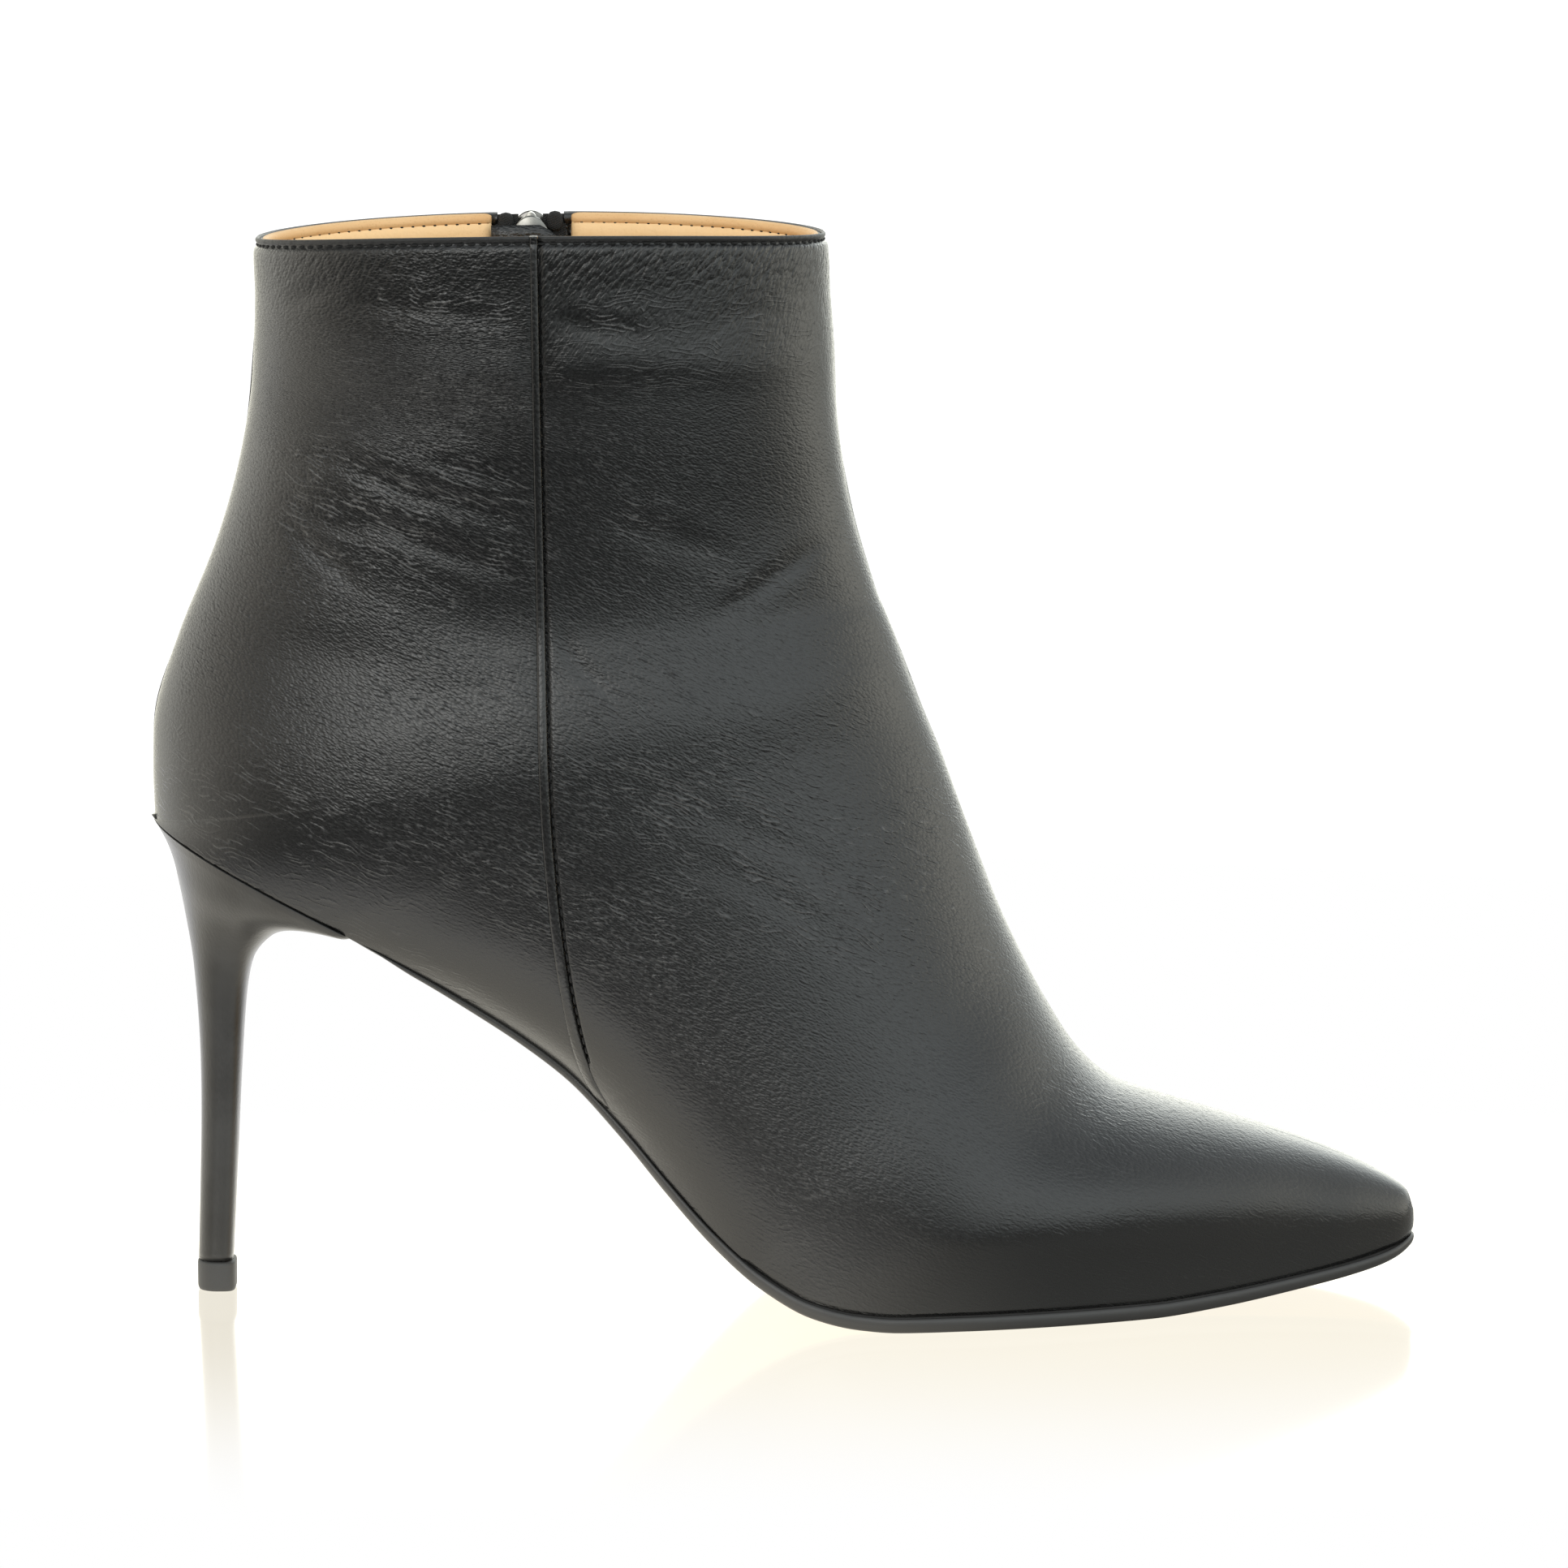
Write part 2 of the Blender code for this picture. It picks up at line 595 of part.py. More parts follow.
def box_object(name, low, high, collection):
    """Box between two corners given in millimetres."""
    shape = bmesh.new()
    bmesh.ops.create_cube(shape, size=1.0)
    size = [b - a for a, b in zip(low, high)]
    centre = [(a + b) / 2 for a, b in zip(low, high)]
    for vertex in shape.verts:
        vertex.co = Vector([c + v * s for c, v, s in zip(centre, vertex.co, size)])
    return new_object(name, finish_mesh(name, shape), collection)


def boolean(target, operand, operation):
    """Exact Boolean with another object of this file."""
    modifier = target.modifiers.new(operand.name, "BOOLEAN")
    modifier.operation = operation
    modifier.solver = "EXACT"
    modifier.object = operand


def bevel(target, width):
    """Small rounded edges."""
    modifier = target.modifiers.new("edges", "BEVEL")
    modifier.width = width * MM
    modifier.segments = 2
    modifier.limit_method = "ANGLE"


def build_slider(parts, cutters, material):
    """Slider: plates before and behind the tapes, a post between them and a strap for the tab."""
    place = slider_place()
    half_width, half_height = SLIDER_WIDTH / 2, SLIDER_HEIGHT / 2
    front_in = place.y + PLATE_FRONT_STAND
    front_out = front_in + PLATE
    back_out = place.y - PLATE_BACK_STAND
    pin_y = front_out + PIN_CLEARANCE + PIN_SIZE / 2
    strap_in = pin_y + PIN_SIZE / 2 + PIN_CLEARANCE
    slider = box_object(
        "zip_slider",
        (place.x - half_width, front_in, place.z - half_height),
        (place.x + half_width, front_out, place.z + half_height),
        parts,
    )
    slider.data.materials.append(material)
    bevel(slider, SMALL_BEVEL)
    top = place.z + half_height
    pieces = (
        box_object(
            "slider_back_plate",
            (place.x - half_width, back_out - PLATE, place.z - half_height),
            (place.x + half_width, back_out, top),
            cutters,
        ),
        box_object(
            "slider_post",
            (place.x - POST_WIDTH / 2, back_out - PLATE / 2, top - POST_HEIGHT),
            (place.x + POST_WIDTH / 2, front_out - PLATE / 2, top - PLATE / 2),
            cutters,
        ),
        box_object(
            "slider_strap",
            (place.x - STRAP_WIDTH / 2, front_out - PLATE / 2, place.z - STRAP_HEIGHT / 2),
            (place.x + STRAP_WIDTH / 2, strap_in + STRAP_THICK, place.z + STRAP_HEIGHT / 2),
            cutters,
        ),
    )
    for piece in pieces:
        boolean(slider, piece, "UNION")
    tunnel_half = PIN_SIZE / 2 + PIN_CLEARANCE
    tunnel = box_object(
        "slider_tunnel",
        (place.x - SLIDER_WIDTH, front_out, place.z - tunnel_half),
        (place.x + SLIDER_WIDTH, strap_in, place.z + tunnel_half),
        cutters,
    )
    boolean(slider, tunnel, "DIFFERENCE")
    return Vector((place.x, pin_y, place.z))


def build_tab(pivot, parts, cutters, material):
    """Pull tab with an eye, hanging from the slider's strap; its origin is the hinge pin."""
    half_pin = PIN_SIZE / 2
    tab = box_object(
        "zip_pull_tab",
        (-TAB_WIDTH / 2, -half_pin, half_pin - TAB_LENGTH),
        (TAB_WIDTH / 2, half_pin, half_pin),
        parts,
    )
    tab.data.materials.append(material)
    eye = box_object(
        "tab_eye",
        (-EYE_WIDTH / 2, -PIN_SIZE, -half_pin - EYE_LENGTH),
        (EYE_WIDTH / 2, PIN_SIZE, -half_pin),
        cutters,
    )
    eye.location = pivot * MM
    tab.location = pivot * MM
    boolean(tab, eye, "DIFFERENCE")
    bevel(tab, SMALL_BEVEL)
    return tab


def new_material(name, colour, roughness, metallic=0.0):
    """Plain Principled material."""
    material = bpy.data.materials.new(name)
    material.use_nodes = True
    shader = material.node_tree.nodes["Principled BSDF"]
    shader.inputs["Base Color"].default_value = (*colour, 1.0)
    shader.inputs["Roughness"].default_value = roughness
    shader.inputs["Metallic"].default_value = metallic
    return material


def build():
    """Build every piece of the boot."""
    for item in list(bpy.data.objects):
        bpy.data.objects.remove(item, do_unlink=True)
    parts = bpy.data.collections.new("heeled_ankle_boot")
    cutters = bpy.data.collections.new("cutters")
    bpy.context.scene.collection.children.link(parts)
    bpy.context.scene.collection.children.link(cutters)

    black_leather = new_material("black_leather", (0.035, 0.035, 0.035), 0.45)
    sole_leather = new_material("sole_leather", (0.05, 0.05, 0.045), 0.5)
    heel_leather = new_material("heel_leather", (0.04, 0.04, 0.038), 0.4)
    top_rubber = new_material("top_piece_rubber", (0.03, 0.03, 0.03), 0.7)
    sock = new_material("insole_sock", (0.75, 0.5, 0.3), 0.6)
    tape = new_material("zip_tape", (0.02, 0.02, 0.02), 0.9)
    chain = new_material("zip_chain", (0.02, 0.02, 0.022), 0.4)
    metal = new_material("zip_metal", (0.25, 0.24, 0.22), 0.3, 1.0)

    upper = new_object("upper", upper_mesh(), parts, black_leather)
    wall = upper.modifiers.new("wall", "SOLIDIFY")
    wall.thickness = WALL * MM
    wall.offset = -1.0

    new_object("outsole", outsole_mesh(), parts, sole_leather)
    new_object("heel", heel_mesh(), parts, heel_leather)
    top_piece = new_object("heel_top_piece", top_piece_mesh(), parts, top_rubber)
    bevel(top_piece, TOP_PIECE_BEVEL)
    new_object("insole", insole_mesh(), parts, sock)

    tape_span = (TAPE_TOP_T, ZIP_SLOT_END_T - END_GAP_T)
    toe_side = zip_strip_mesh("zip_tape_toe_side", tape_span, (TAPE_OUTER, TAPE_INNER), TAPE_DEPTH)
    heel_side = zip_strip_mesh("zip_tape_heel_side", tape_span, (-TAPE_INNER, -TAPE_OUTER), TAPE_DEPTH)
    new_object("zip_tape_toe_side", toe_side, parts, tape)
    new_object("zip_tape_heel_side", heel_side, parts, tape)
    chain_span = (CHAIN_TOP_T, CHAIN_END_T)
    teeth = zip_strip_mesh("zip_chain", chain_span, (CHAIN_HALF, -CHAIN_HALF), CHAIN_DEPTH)
    new_object("zip_chain", teeth, parts, chain)
    stop_span = (CHAIN_END_T + END_GAP_T, STOP_END_T)
    stop = zip_strip_mesh("zip_bottom_stop", stop_span, (STOP_HALF, -STOP_HALF), CHAIN_DEPTH)
    new_object("zip_bottom_stop", stop, parts, metal)
    pivot = build_slider(parts, cutters, metal)
    build_tab(pivot, parts, cutters, metal)

    root = bpy.data.objects.new("boot_root", None)
    parts.objects.link(root)
    for item in parts.objects:
        if item is not root:
            item.parent = root
    for item in cutters.objects:
        item.hide_render = True
        item.display_type = "WIRE"


build()
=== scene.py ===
"""Looks of a heeled ankle boot for the right foot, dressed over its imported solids.

+X points to the toe, +Y to the inner (medial) side with the zip, +Z is up and the floor is z = 0.
Sizes are in millimetres, and MM turns them into metres when a mesh is made.
"""

import logging
import math
from dataclasses import dataclass
from enum import Enum
from typing import Any, NamedTuple, Sequence

import bmesh
import bpy
import numpy as np
from mathutils import Matrix, Vector


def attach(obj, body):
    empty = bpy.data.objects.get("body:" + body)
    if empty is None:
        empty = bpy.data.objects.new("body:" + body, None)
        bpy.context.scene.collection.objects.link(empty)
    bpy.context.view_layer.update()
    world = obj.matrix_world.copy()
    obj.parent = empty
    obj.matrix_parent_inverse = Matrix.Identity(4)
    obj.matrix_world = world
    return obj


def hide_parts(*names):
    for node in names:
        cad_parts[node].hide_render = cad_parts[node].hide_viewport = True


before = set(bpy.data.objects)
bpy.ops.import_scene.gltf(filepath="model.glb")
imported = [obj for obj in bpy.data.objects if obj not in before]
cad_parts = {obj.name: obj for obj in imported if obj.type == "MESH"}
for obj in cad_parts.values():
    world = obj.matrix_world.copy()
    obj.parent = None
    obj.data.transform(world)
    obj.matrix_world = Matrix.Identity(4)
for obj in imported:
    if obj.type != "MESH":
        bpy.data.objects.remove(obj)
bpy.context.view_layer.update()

LOG = logging.getLogger("ankle_boot")
MM = 0.001

BOOT_LENGTH = 234.2
HEEL_SEAT_HEIGHT = 89.5
SEAT_SLOPE = 0.5144
SEAT_HALF_WIDTH = 25.0
SEAT_WIDEST_X = -85.0
SEAT_POWER = 2.3
TOE_TIP_Y = 3.3
NOSE_START_X = 109.0
UPPER_TIP_X = 116.9
ZIP_SHIFT = -2.5
FAR_BELOW = 50.0
WELD_REACH = 0.002
TINY = 1e-9

Array = np.ndarray
Mesh = bpy.types.Mesh
Piece = bpy.types.Object
Span = tuple[float, float]


class Side(Enum):
    """A side of the boot, as the sign of y."""

    LATERAL = -1
    MEDIAL = 1


def table(kind: type, *rows: tuple[float, ...]) -> tuple[Any, ...]:
    """Rows of numbers with the named columns of a kind."""
    return tuple(kind(*row) for row in rows)


class OutlineRow(NamedTuple):
    """Half widths of the feather line, where upper and sole meet."""

    x: float
    lateral: float
    medial: float


OUTLINE = table(
    OutlineRow,
    (-85.0, 25.0, 25.0),
    (-70.0, 22.8, 22.0),
    (-55.0, 19.6, 18.0),
    (-42.0, 19.2, 16.6),
    (-30.0, 22.6, 17.6),
    (-18.0, 29.2, 21.6),
    (-6.0, 35.2, 28.4),
    (8.0, 38.6, 35.0),
    (20.0, 38.9, 37.8),
    (32.0, 37.5, 37.4),
    (44.0, 34.9, 35.0),
    (58.0, 30.5, 30.8),
    (74.0, 23.8, 25.4),
    (90.0, 15.9, 19.6),
    (102.0, 9.7, 15.4),
    (109.0, 5.7, 12.3),
)


class ProfileRow(NamedTuple):
    """Heights of the feather line and of the sole's underside along the boot."""

    x: float
    feather: float
    sole: float


PROFILE = table(
    ProfileRow,
    (-79.0, 69.9, 69.0),
    (-66.7, 62.95, 61.45),
    (-57.8, 57.35, 55.45),
    (-48.9, 51.6, 49.4),
    (-40.0, 44.8, 42.4),
    (-31.0, 35.8, 33.1),
    (-22.2, 26.15, 23.15),
    (-13.4, 17.25, 14.15),
    (-4.5, 10.2, 7.1),
    (4.3, 5.65, 2.55),
    (13.1, 3.6, 0.5),
    (20.0, 3.1, 0.0),
    (66.0, 3.1, 0.0),
    (80.0, 3.9, 0.9),
    (94.5, 5.4, 2.6),
    (106.9, 7.1, 4.5),
    (113.0, 8.5, 6.1),
    (117.1, 10.3, 8.0),
)


class SectionRow(NamedTuple):
    """A section of the upper, from its front point over its widest place to its back or feather point."""

    front_x: float
    front_z: float
    wide_x: float
    wide_z: float
    back_x: float
    back_z: float
    ridge_y: float
    lateral: float
    medial: float
    front_power: float
    back_power: float
    crown: float


SECTIONS = table(
    SectionRow,
    (6.8, 197.2, -45.2, 196.8, -97.2, 196.3, 0.0, 30.0, 30.0, 2.1, 2.2, 1.8),
    (8.3, 180.0, -45.0, 179.3, -97.7, 178.5, 0.0, 29.9, 29.9, 2.1, 2.2, 0.8),
    (9.2, 162.0, -45.4, 161.0, -99.7, 160.0, 0.0, 28.4, 28.4, 2.1, 2.2, 0.0),
    (11.9, 146.0, -47.4, 144.0, -104.7, 141.5, 0.0, 26.9, 26.9, 2.0, 2.2, 0.0),
    (15.9, 132.3, -49.6, 129.0, -112.0, 123.5, 0.0, 26.6, 26.6, 1.95, 2.2, 0.0),
    (18.1, 127.0, -50.4, 119.5, -116.4, 110.5, 0.0, 28.3, 28.3, 1.95, 2.25, 0.0),
    (19.9, 122.5, -50.0, 110.7, -117.1, 99.5, 0.0, 30.7, 30.6, 1.9, 2.3, 0.0),
    (21.6, 118.0, -47.2, 101.5, -116.9, 89.4, 0.0, 32.2, 31.9, 1.9, 2.3, 0.0),
    (24.6, 110.0, -40.2, 90.2, -85.0, 0.0, 0.0, 32.0, 31.3, 1.85, 2.3, 0.0),
    (27.8, 102.3, -31.0, 80.0, -70.0, 0.0, 0.0, 31.8, 30.6, 1.85, 2.6, 0.0),
    (31.0, 93.8, -21.2, 70.4, -55.0, 0.0, 0.0, 32.2, 30.6, 1.85, 2.6, 0.0),
    (34.5, 84.3, -13.0, 60.0, -42.0, 0.0, -0.2, 33.2, 31.0, 1.85, 2.6, 0.0),
    (38.4, 74.0, -5.4, 47.4, -29.0, 0.0, -0.4, 34.8, 32.2, 1.85, 2.6, 0.0),
    (42.9, 64.2, 2.6, 33.0, -15.0, 0.0, -0.4, 37.0, 34.4, 1.85, 2.4, 0.0),
    (47.9, 54.7, 14.6, 23.0, -1.0, 0.0, -0.4, 39.0, 37.2, 1.9, 2.2, 0.0),
    (53.6, 45.8, 25.9, 17.0, 13.0, 0.0, -0.2, 39.6, 39.0, 1.9, 2.0, 0.0),
    (60.2, 39.7, 38.2, 15.5, 27.0, 0.0, 0.2, 38.4, 38.4, 1.95, 2.0, 0.0),
    (69.0, 36.3, 52.0, 14.6, 43.0, 0.0, 0.8, 34.8, 34.8, 2.0, 2.0, 0.0),
    (79.0, 33.3, 66.1, 13.8, 59.0, 0.0, 1.4, 29.2, 29.8, 2.05, 2.0, 0.0),
    (89.0, 30.1, 80.1, 13.2, 75.0, 0.0, 2.0, 22.4, 24.6, 2.1, 2.0, 0.0),
    (98.4, 26.8, 93.1, 12.8, 90.0, 0.0, 2.6, 15.2, 19.6, 2.1, 2.0, 0.0),
    (105.9, 23.7, 103.1, 12.6, 101.5, 0.0, 3.1, 10.0, 15.8, 2.1, 2.0, 0.0),
    (111.4, 21.0, 109.9, 12.6, 109.0, 0.0, 3.3, 6.0, 12.6, 2.1, 2.0, 0.0),
    (115.3, 18.3, 114.6, 12.8, 114.0, 0.0, 3.3, 6.0, 12.6, 2.1, 2.0, 0.0),
    (116.9, 14.2, 117.0, 12.2, 116.9, 0.0, 3.3, 6.0, 12.6, 2.1, 2.0, 0.0),
)
HEEL_ROW = 7
NOSE_ROW = 23
LAST_ROW = len(SECTIONS) - 1


class SeamRow(NamedTuple):
    """The side seam as seen from the side; the zip runs along it on the other side."""

    z: float
    x: float


SEAM = table(
    SeamRow,
    (38.0, -33.4),
    (40.6, -34.8),
    (44.7, -36.7),
    (52.9, -38.9),
    (64.9, -41.0),
    (79.8, -42.7),
    (94.7, -43.8),
    (109.5, -44.3),
    (153.7, -45.0),
    (200.0, -45.5),
)


class HeelRow(NamedTuple):
    """A section of the heel block from the breast to the back."""

    front_x: float
    front_z: float
    back_x: float
    back_z: float
    half: float
    widest: float
    front_power: float
    back_power: float


HEEL = table(
    HeelRow,
    (-79.2, 69.7, -117.1, 89.2, 25.2, 0.15, 6.0, 2.3),
    (-79.6, 69.0, -115.7, 87.2, 24.5, 0.18, 6.0, 2.3),
    (-83.6, 69.8, -113.9, 83.0, 22.7, 0.25, 5.0, 2.2),
    (-88.6, 70.1, -112.8, 78.2, 19.6, 0.30, 4.5, 2.2),
    (-93.0, 69.3, -111.9, 73.2, 15.4, 0.34, 4.0, 2.1),
    (-96.4, 66.6, -111.1, 68.4, 11.8, 0.38, 3.6, 2.1),
    (-98.9, 63.2, -110.4, 64.0, 9.2, 0.42, 3.4, 2.1),
    (-100.3, 57.5, -109.8, 57.5, 7.3, 0.45, 3.2, 2.1),
    (-101.1, 48.0, -109.2, 48.0, 5.9, 0.45, 3.2, 2.1),
    (-101.8, 36.3, -109.0, 36.3, 5.0, 0.45, 3.2, 2.1),
    (-102.6, 20.9, -109.4, 20.9, 4.4, 0.45, 3.2, 2.1),
    (-103.4, 5.8, -109.9, 5.8, 4.1, 0.45, 3.2, 2.1),
)
TOP_PIECE = HeelRow(-102.9, 0.0, -110.1, 0.0, 4.5, 0.45, 4.0, 2.1)


class Crease(NamedTuple):
    """A soft trough in the leather (a ridge where depth is below zero), along places (x, z)."""

    depth: float
    width: float
    places: tuple[tuple[float, float], ...]


CREASES = {
    Side.LATERAL: (
        Crease(0.34, 2.4, ((-90, 158), (-82, 158), (-75, 155), (-68, 152), (-62, 151), (-48, 147))),
        Crease(0.30, 2.2, ((-84, 150), (-76, 147), (-71, 145), (-61, 141), (-49, 137))),
        Crease(0.30, 1.9, ((-92, 147), (-87, 142), (-83, 139), (-78, 135))),
        Crease(0.20, 2.0, ((-69, 160), (-61, 157), (-53, 155), (-48, 154))),
        Crease(0.22, 1.8, ((-91, 151), (-86, 147), (-79, 145), (-73, 144))),
        Crease(0.12, 1.8, ((-91, 185), (-85, 188), (-80, 189))),
        Crease(0.18, 2.0, ((-81, 186), (-71, 186), (-62, 185), (-53, 184), (-47, 184))),
        Crease(0.22, 2.2, ((-43, 184), (-34, 182), (-25, 181))),
        Crease(0.12, 2.5, ((-16, 182), (-8, 184), (0, 184))),
        Crease(-0.26, 4.0, ((-70, 175), (-54, 174), (-38, 175), (-25, 176), (-9, 175), (4, 175))),
        Crease(0.30, 2.2, ((-13, 129), (-8, 132), (-2, 136), (7, 142))),
        Crease(0.16, 3.2, ((-33, 147), (-22, 144), (-8, 139))),
        Crease(0.16, 1.8, ((-42, 127), (-37, 120), (-31, 115))),
        Crease(0.32, 6.0, ((-96, 168), (-74, 166), (-50, 162))),
        Crease(-0.22, 6.0, ((-93, 132), (-74, 127), (-52, 120))),
        Crease(0.14, 3.0, ((-22, 96), (-8, 91), (6, 84), (18, 74))),
        Crease(0.12, 3.0, ((-20, 86), (-4, 80), (14, 66))),
    ),
    Side.MEDIAL: (
        Crease(0.30, 2.4, ((-92, 160), (-76, 158), (-58, 152))),
        Crease(0.26, 2.2, ((-88, 148), (-72, 143), (-58, 139))),
        Crease(0.20, 2.8, ((-34, 150), (-16, 144), (-2, 140))),
        Crease(0.28, 2.4, ((-10, 127), (-2, 133), (8, 141))),
        Crease(0.16, 2.2, ((-86, 184), (-70, 186), (-58, 185))),
        Crease(0.18, 2.4, ((-34, 182), (-20, 180), (-6, 182))),
        Crease(0.14, 3.0, ((-20, 92), (-4, 86), (14, 76))),
    ),
}


class WrinkleField(NamedTuple):
    """A place where fine wrinkles gather."""

    x: float
    z: float
    reach_x: float
    reach_z: float
    strength: float


WRINKLE_FIELDS = {
    Side.LATERAL: (
        WrinkleField(-72.0, 149.0, 22.0, 15.0, 0.8),
        WrinkleField(-6.0, 89.0, 26.0, 16.0, 0.85),
        WrinkleField(20.0, 62.0, 18.0, 14.0, 0.5),
        WrinkleField(-62.0, 186.0, 24.0, 7.0, 0.5),
        WrinkleField(-33.0, 184.0, 14.0, 8.0, 0.8),
        WrinkleField(-18.0, 176.0, 30.0, 5.0, 0.35),
        WrinkleField(-37.0, 119.0, 9.0, 11.0, 0.5),
        WrinkleField(0.0, 136.0, 11.0, 8.0, 0.45),
        WrinkleField(58.0, 42.0, 14.0, 10.0, 0.5),
        WrinkleField(-52.0, 60.0, 14.0, 12.0, 0.4),
    ),
    Side.MEDIAL: (
        WrinkleField(-74.0, 149.0, 20.0, 14.0, 0.8),
        WrinkleField(-6.0, 86.0, 24.0, 16.0, 0.8),
        WrinkleField(-20.0, 182.0, 24.0, 8.0, 0.6),
        WrinkleField(0.0, 134.0, 11.0, 8.0, 0.5),
        WrinkleField(58.0, 42.0, 14.0, 10.0, 0.5),
    ),
}


def smooth_step(value: Array, low: float, high: float) -> Array:
    """Ease from 0 at low to 1 at high."""
    part = np.clip((value - low) / (high - low), 0.0, 1.0)
    return part * part * (3.0 - 2.0 * part)


def bell(distance: Array, width: float) -> Array:
    """Soft bump of height 1 that fades over a width."""
    return np.exp(-((distance / width) ** 2))


def signed_power(value: Array, power: float | Array) -> Array:
    """Power that keeps the sign, for rounded squares."""
    return np.sign(value) * np.abs(value) ** power


def unit(vectors: Array) -> Array:
    """Vectors scaled to length 1."""
    return vectors / np.maximum(np.linalg.norm(vectors, axis=-1, keepdims=True), TINY)


def run_length(points: Array, axis: int = 0) -> Array:
    """Running length along lines of points, from 0 at their starts.

    Args:
        points: Points, their coordinates on the last axis.
        axis: The axis that runs along the lines.

    Returns:
        One length for each point.
    """
    steps = np.linalg.norm(np.diff(points, axis=axis), axis=-1)
    start = np.zeros_like(np.take(steps, [0], axis=axis))
    return np.concatenate((start, np.cumsum(steps, axis=axis)), axis=axis)


def hermite(start: Array, end: Array, start_slope: Array, end_slope: Array, part: Array) -> Array:
    """Cubic between two values with given slopes.

    Args:
        start: Value at the start.
        end: Value at the end.
        start_slope: Slope at the start.
        end_slope: Slope at the end.
        part: Place between them, from 0 to 1.

    Returns:
        The values there.
    """
    square = part * part
    cube = square * part
    return (
        (2 * cube - 3 * square + 1) * start
        + (cube - 2 * square + part) * start_slope
        + (3 * square - 2 * cube) * end
        + (cube - square) * end_slope
    )


class Curve:
    """Smooth line through one column of a table."""

    def __init__(self, keys: Sequence[float], values: Sequence[float], tangents: Array) -> None:
        """Keep the line's places, values and slopes.

        Args:
            keys: Places of the rows, rising.
            values: The column's value at each row.
            tangents: Slope at each row.
        """
        self.keys = np.asarray(keys, float)
        self.values = np.asarray(values, float)
        self.tangents = tangents

    def __call__(self, at: Array) -> Array:
        """Value at a place, held beyond the ends.

        Args:
            at: Places on the line.

        Returns:
            The values there.
        """
        at = np.clip(np.asarray(at, float), self.keys[0], self.keys[-1])
        low = np.clip(np.searchsorted(self.keys, at, side="right") - 1, 0, len(self.keys) - 2)
        span = self.keys[low + 1] - self.keys[low]
        return hermite(
            self.values[low],
            self.values[low + 1],
            self.tangents[low] * span,
            self.tangents[low + 1] * span,
            (at - self.keys[low]) / span,
        )

    @classmethod
    def without_overshoot(cls, rows: Sequence[Any], column: str, key: str | None = None) -> "Curve":
        """Line that stays between neighbouring rows.

        Args:
            rows: A table with named columns.
            column: The column of values.
            key: The column of places; the running row number if there is none.

        Returns:
            The line.
        """
        keys = np.array([getattr(row, key) if key else at for at, row in enumerate(rows)], float)
        values = np.array([getattr(row, column) for row in rows], float)
        slopes = np.diff(values) / np.diff(keys)
        before, after = slopes[:-1], slopes[1:]
        agree = before * after > 0.0
        inner = np.where(agree, 2.0 * before * after / np.where(agree, before + after, 1.0), 0.0)
        return cls(keys, values, np.concatenate(([slopes[0]], inner, [slopes[-1]])))

    @classmethod
    def through_rows(cls, rows: Sequence[Any], column: str, rest_row: int | None = None) -> "Curve":
        """Line over the running row number, at rest at one row if that is given.

        Args:
            rows: A table with named columns.
            column: The column of values.
            rest_row: Row where the slope is zero.

        Returns:
            The line.
        """
        values = np.array([getattr(row, column) for row in rows], float)
        tangents = np.gradient(values)
        if rest_row is not None:
            tangents[rest_row] = 0.0
        return cls(np.arange(len(rows)), values, tangents)


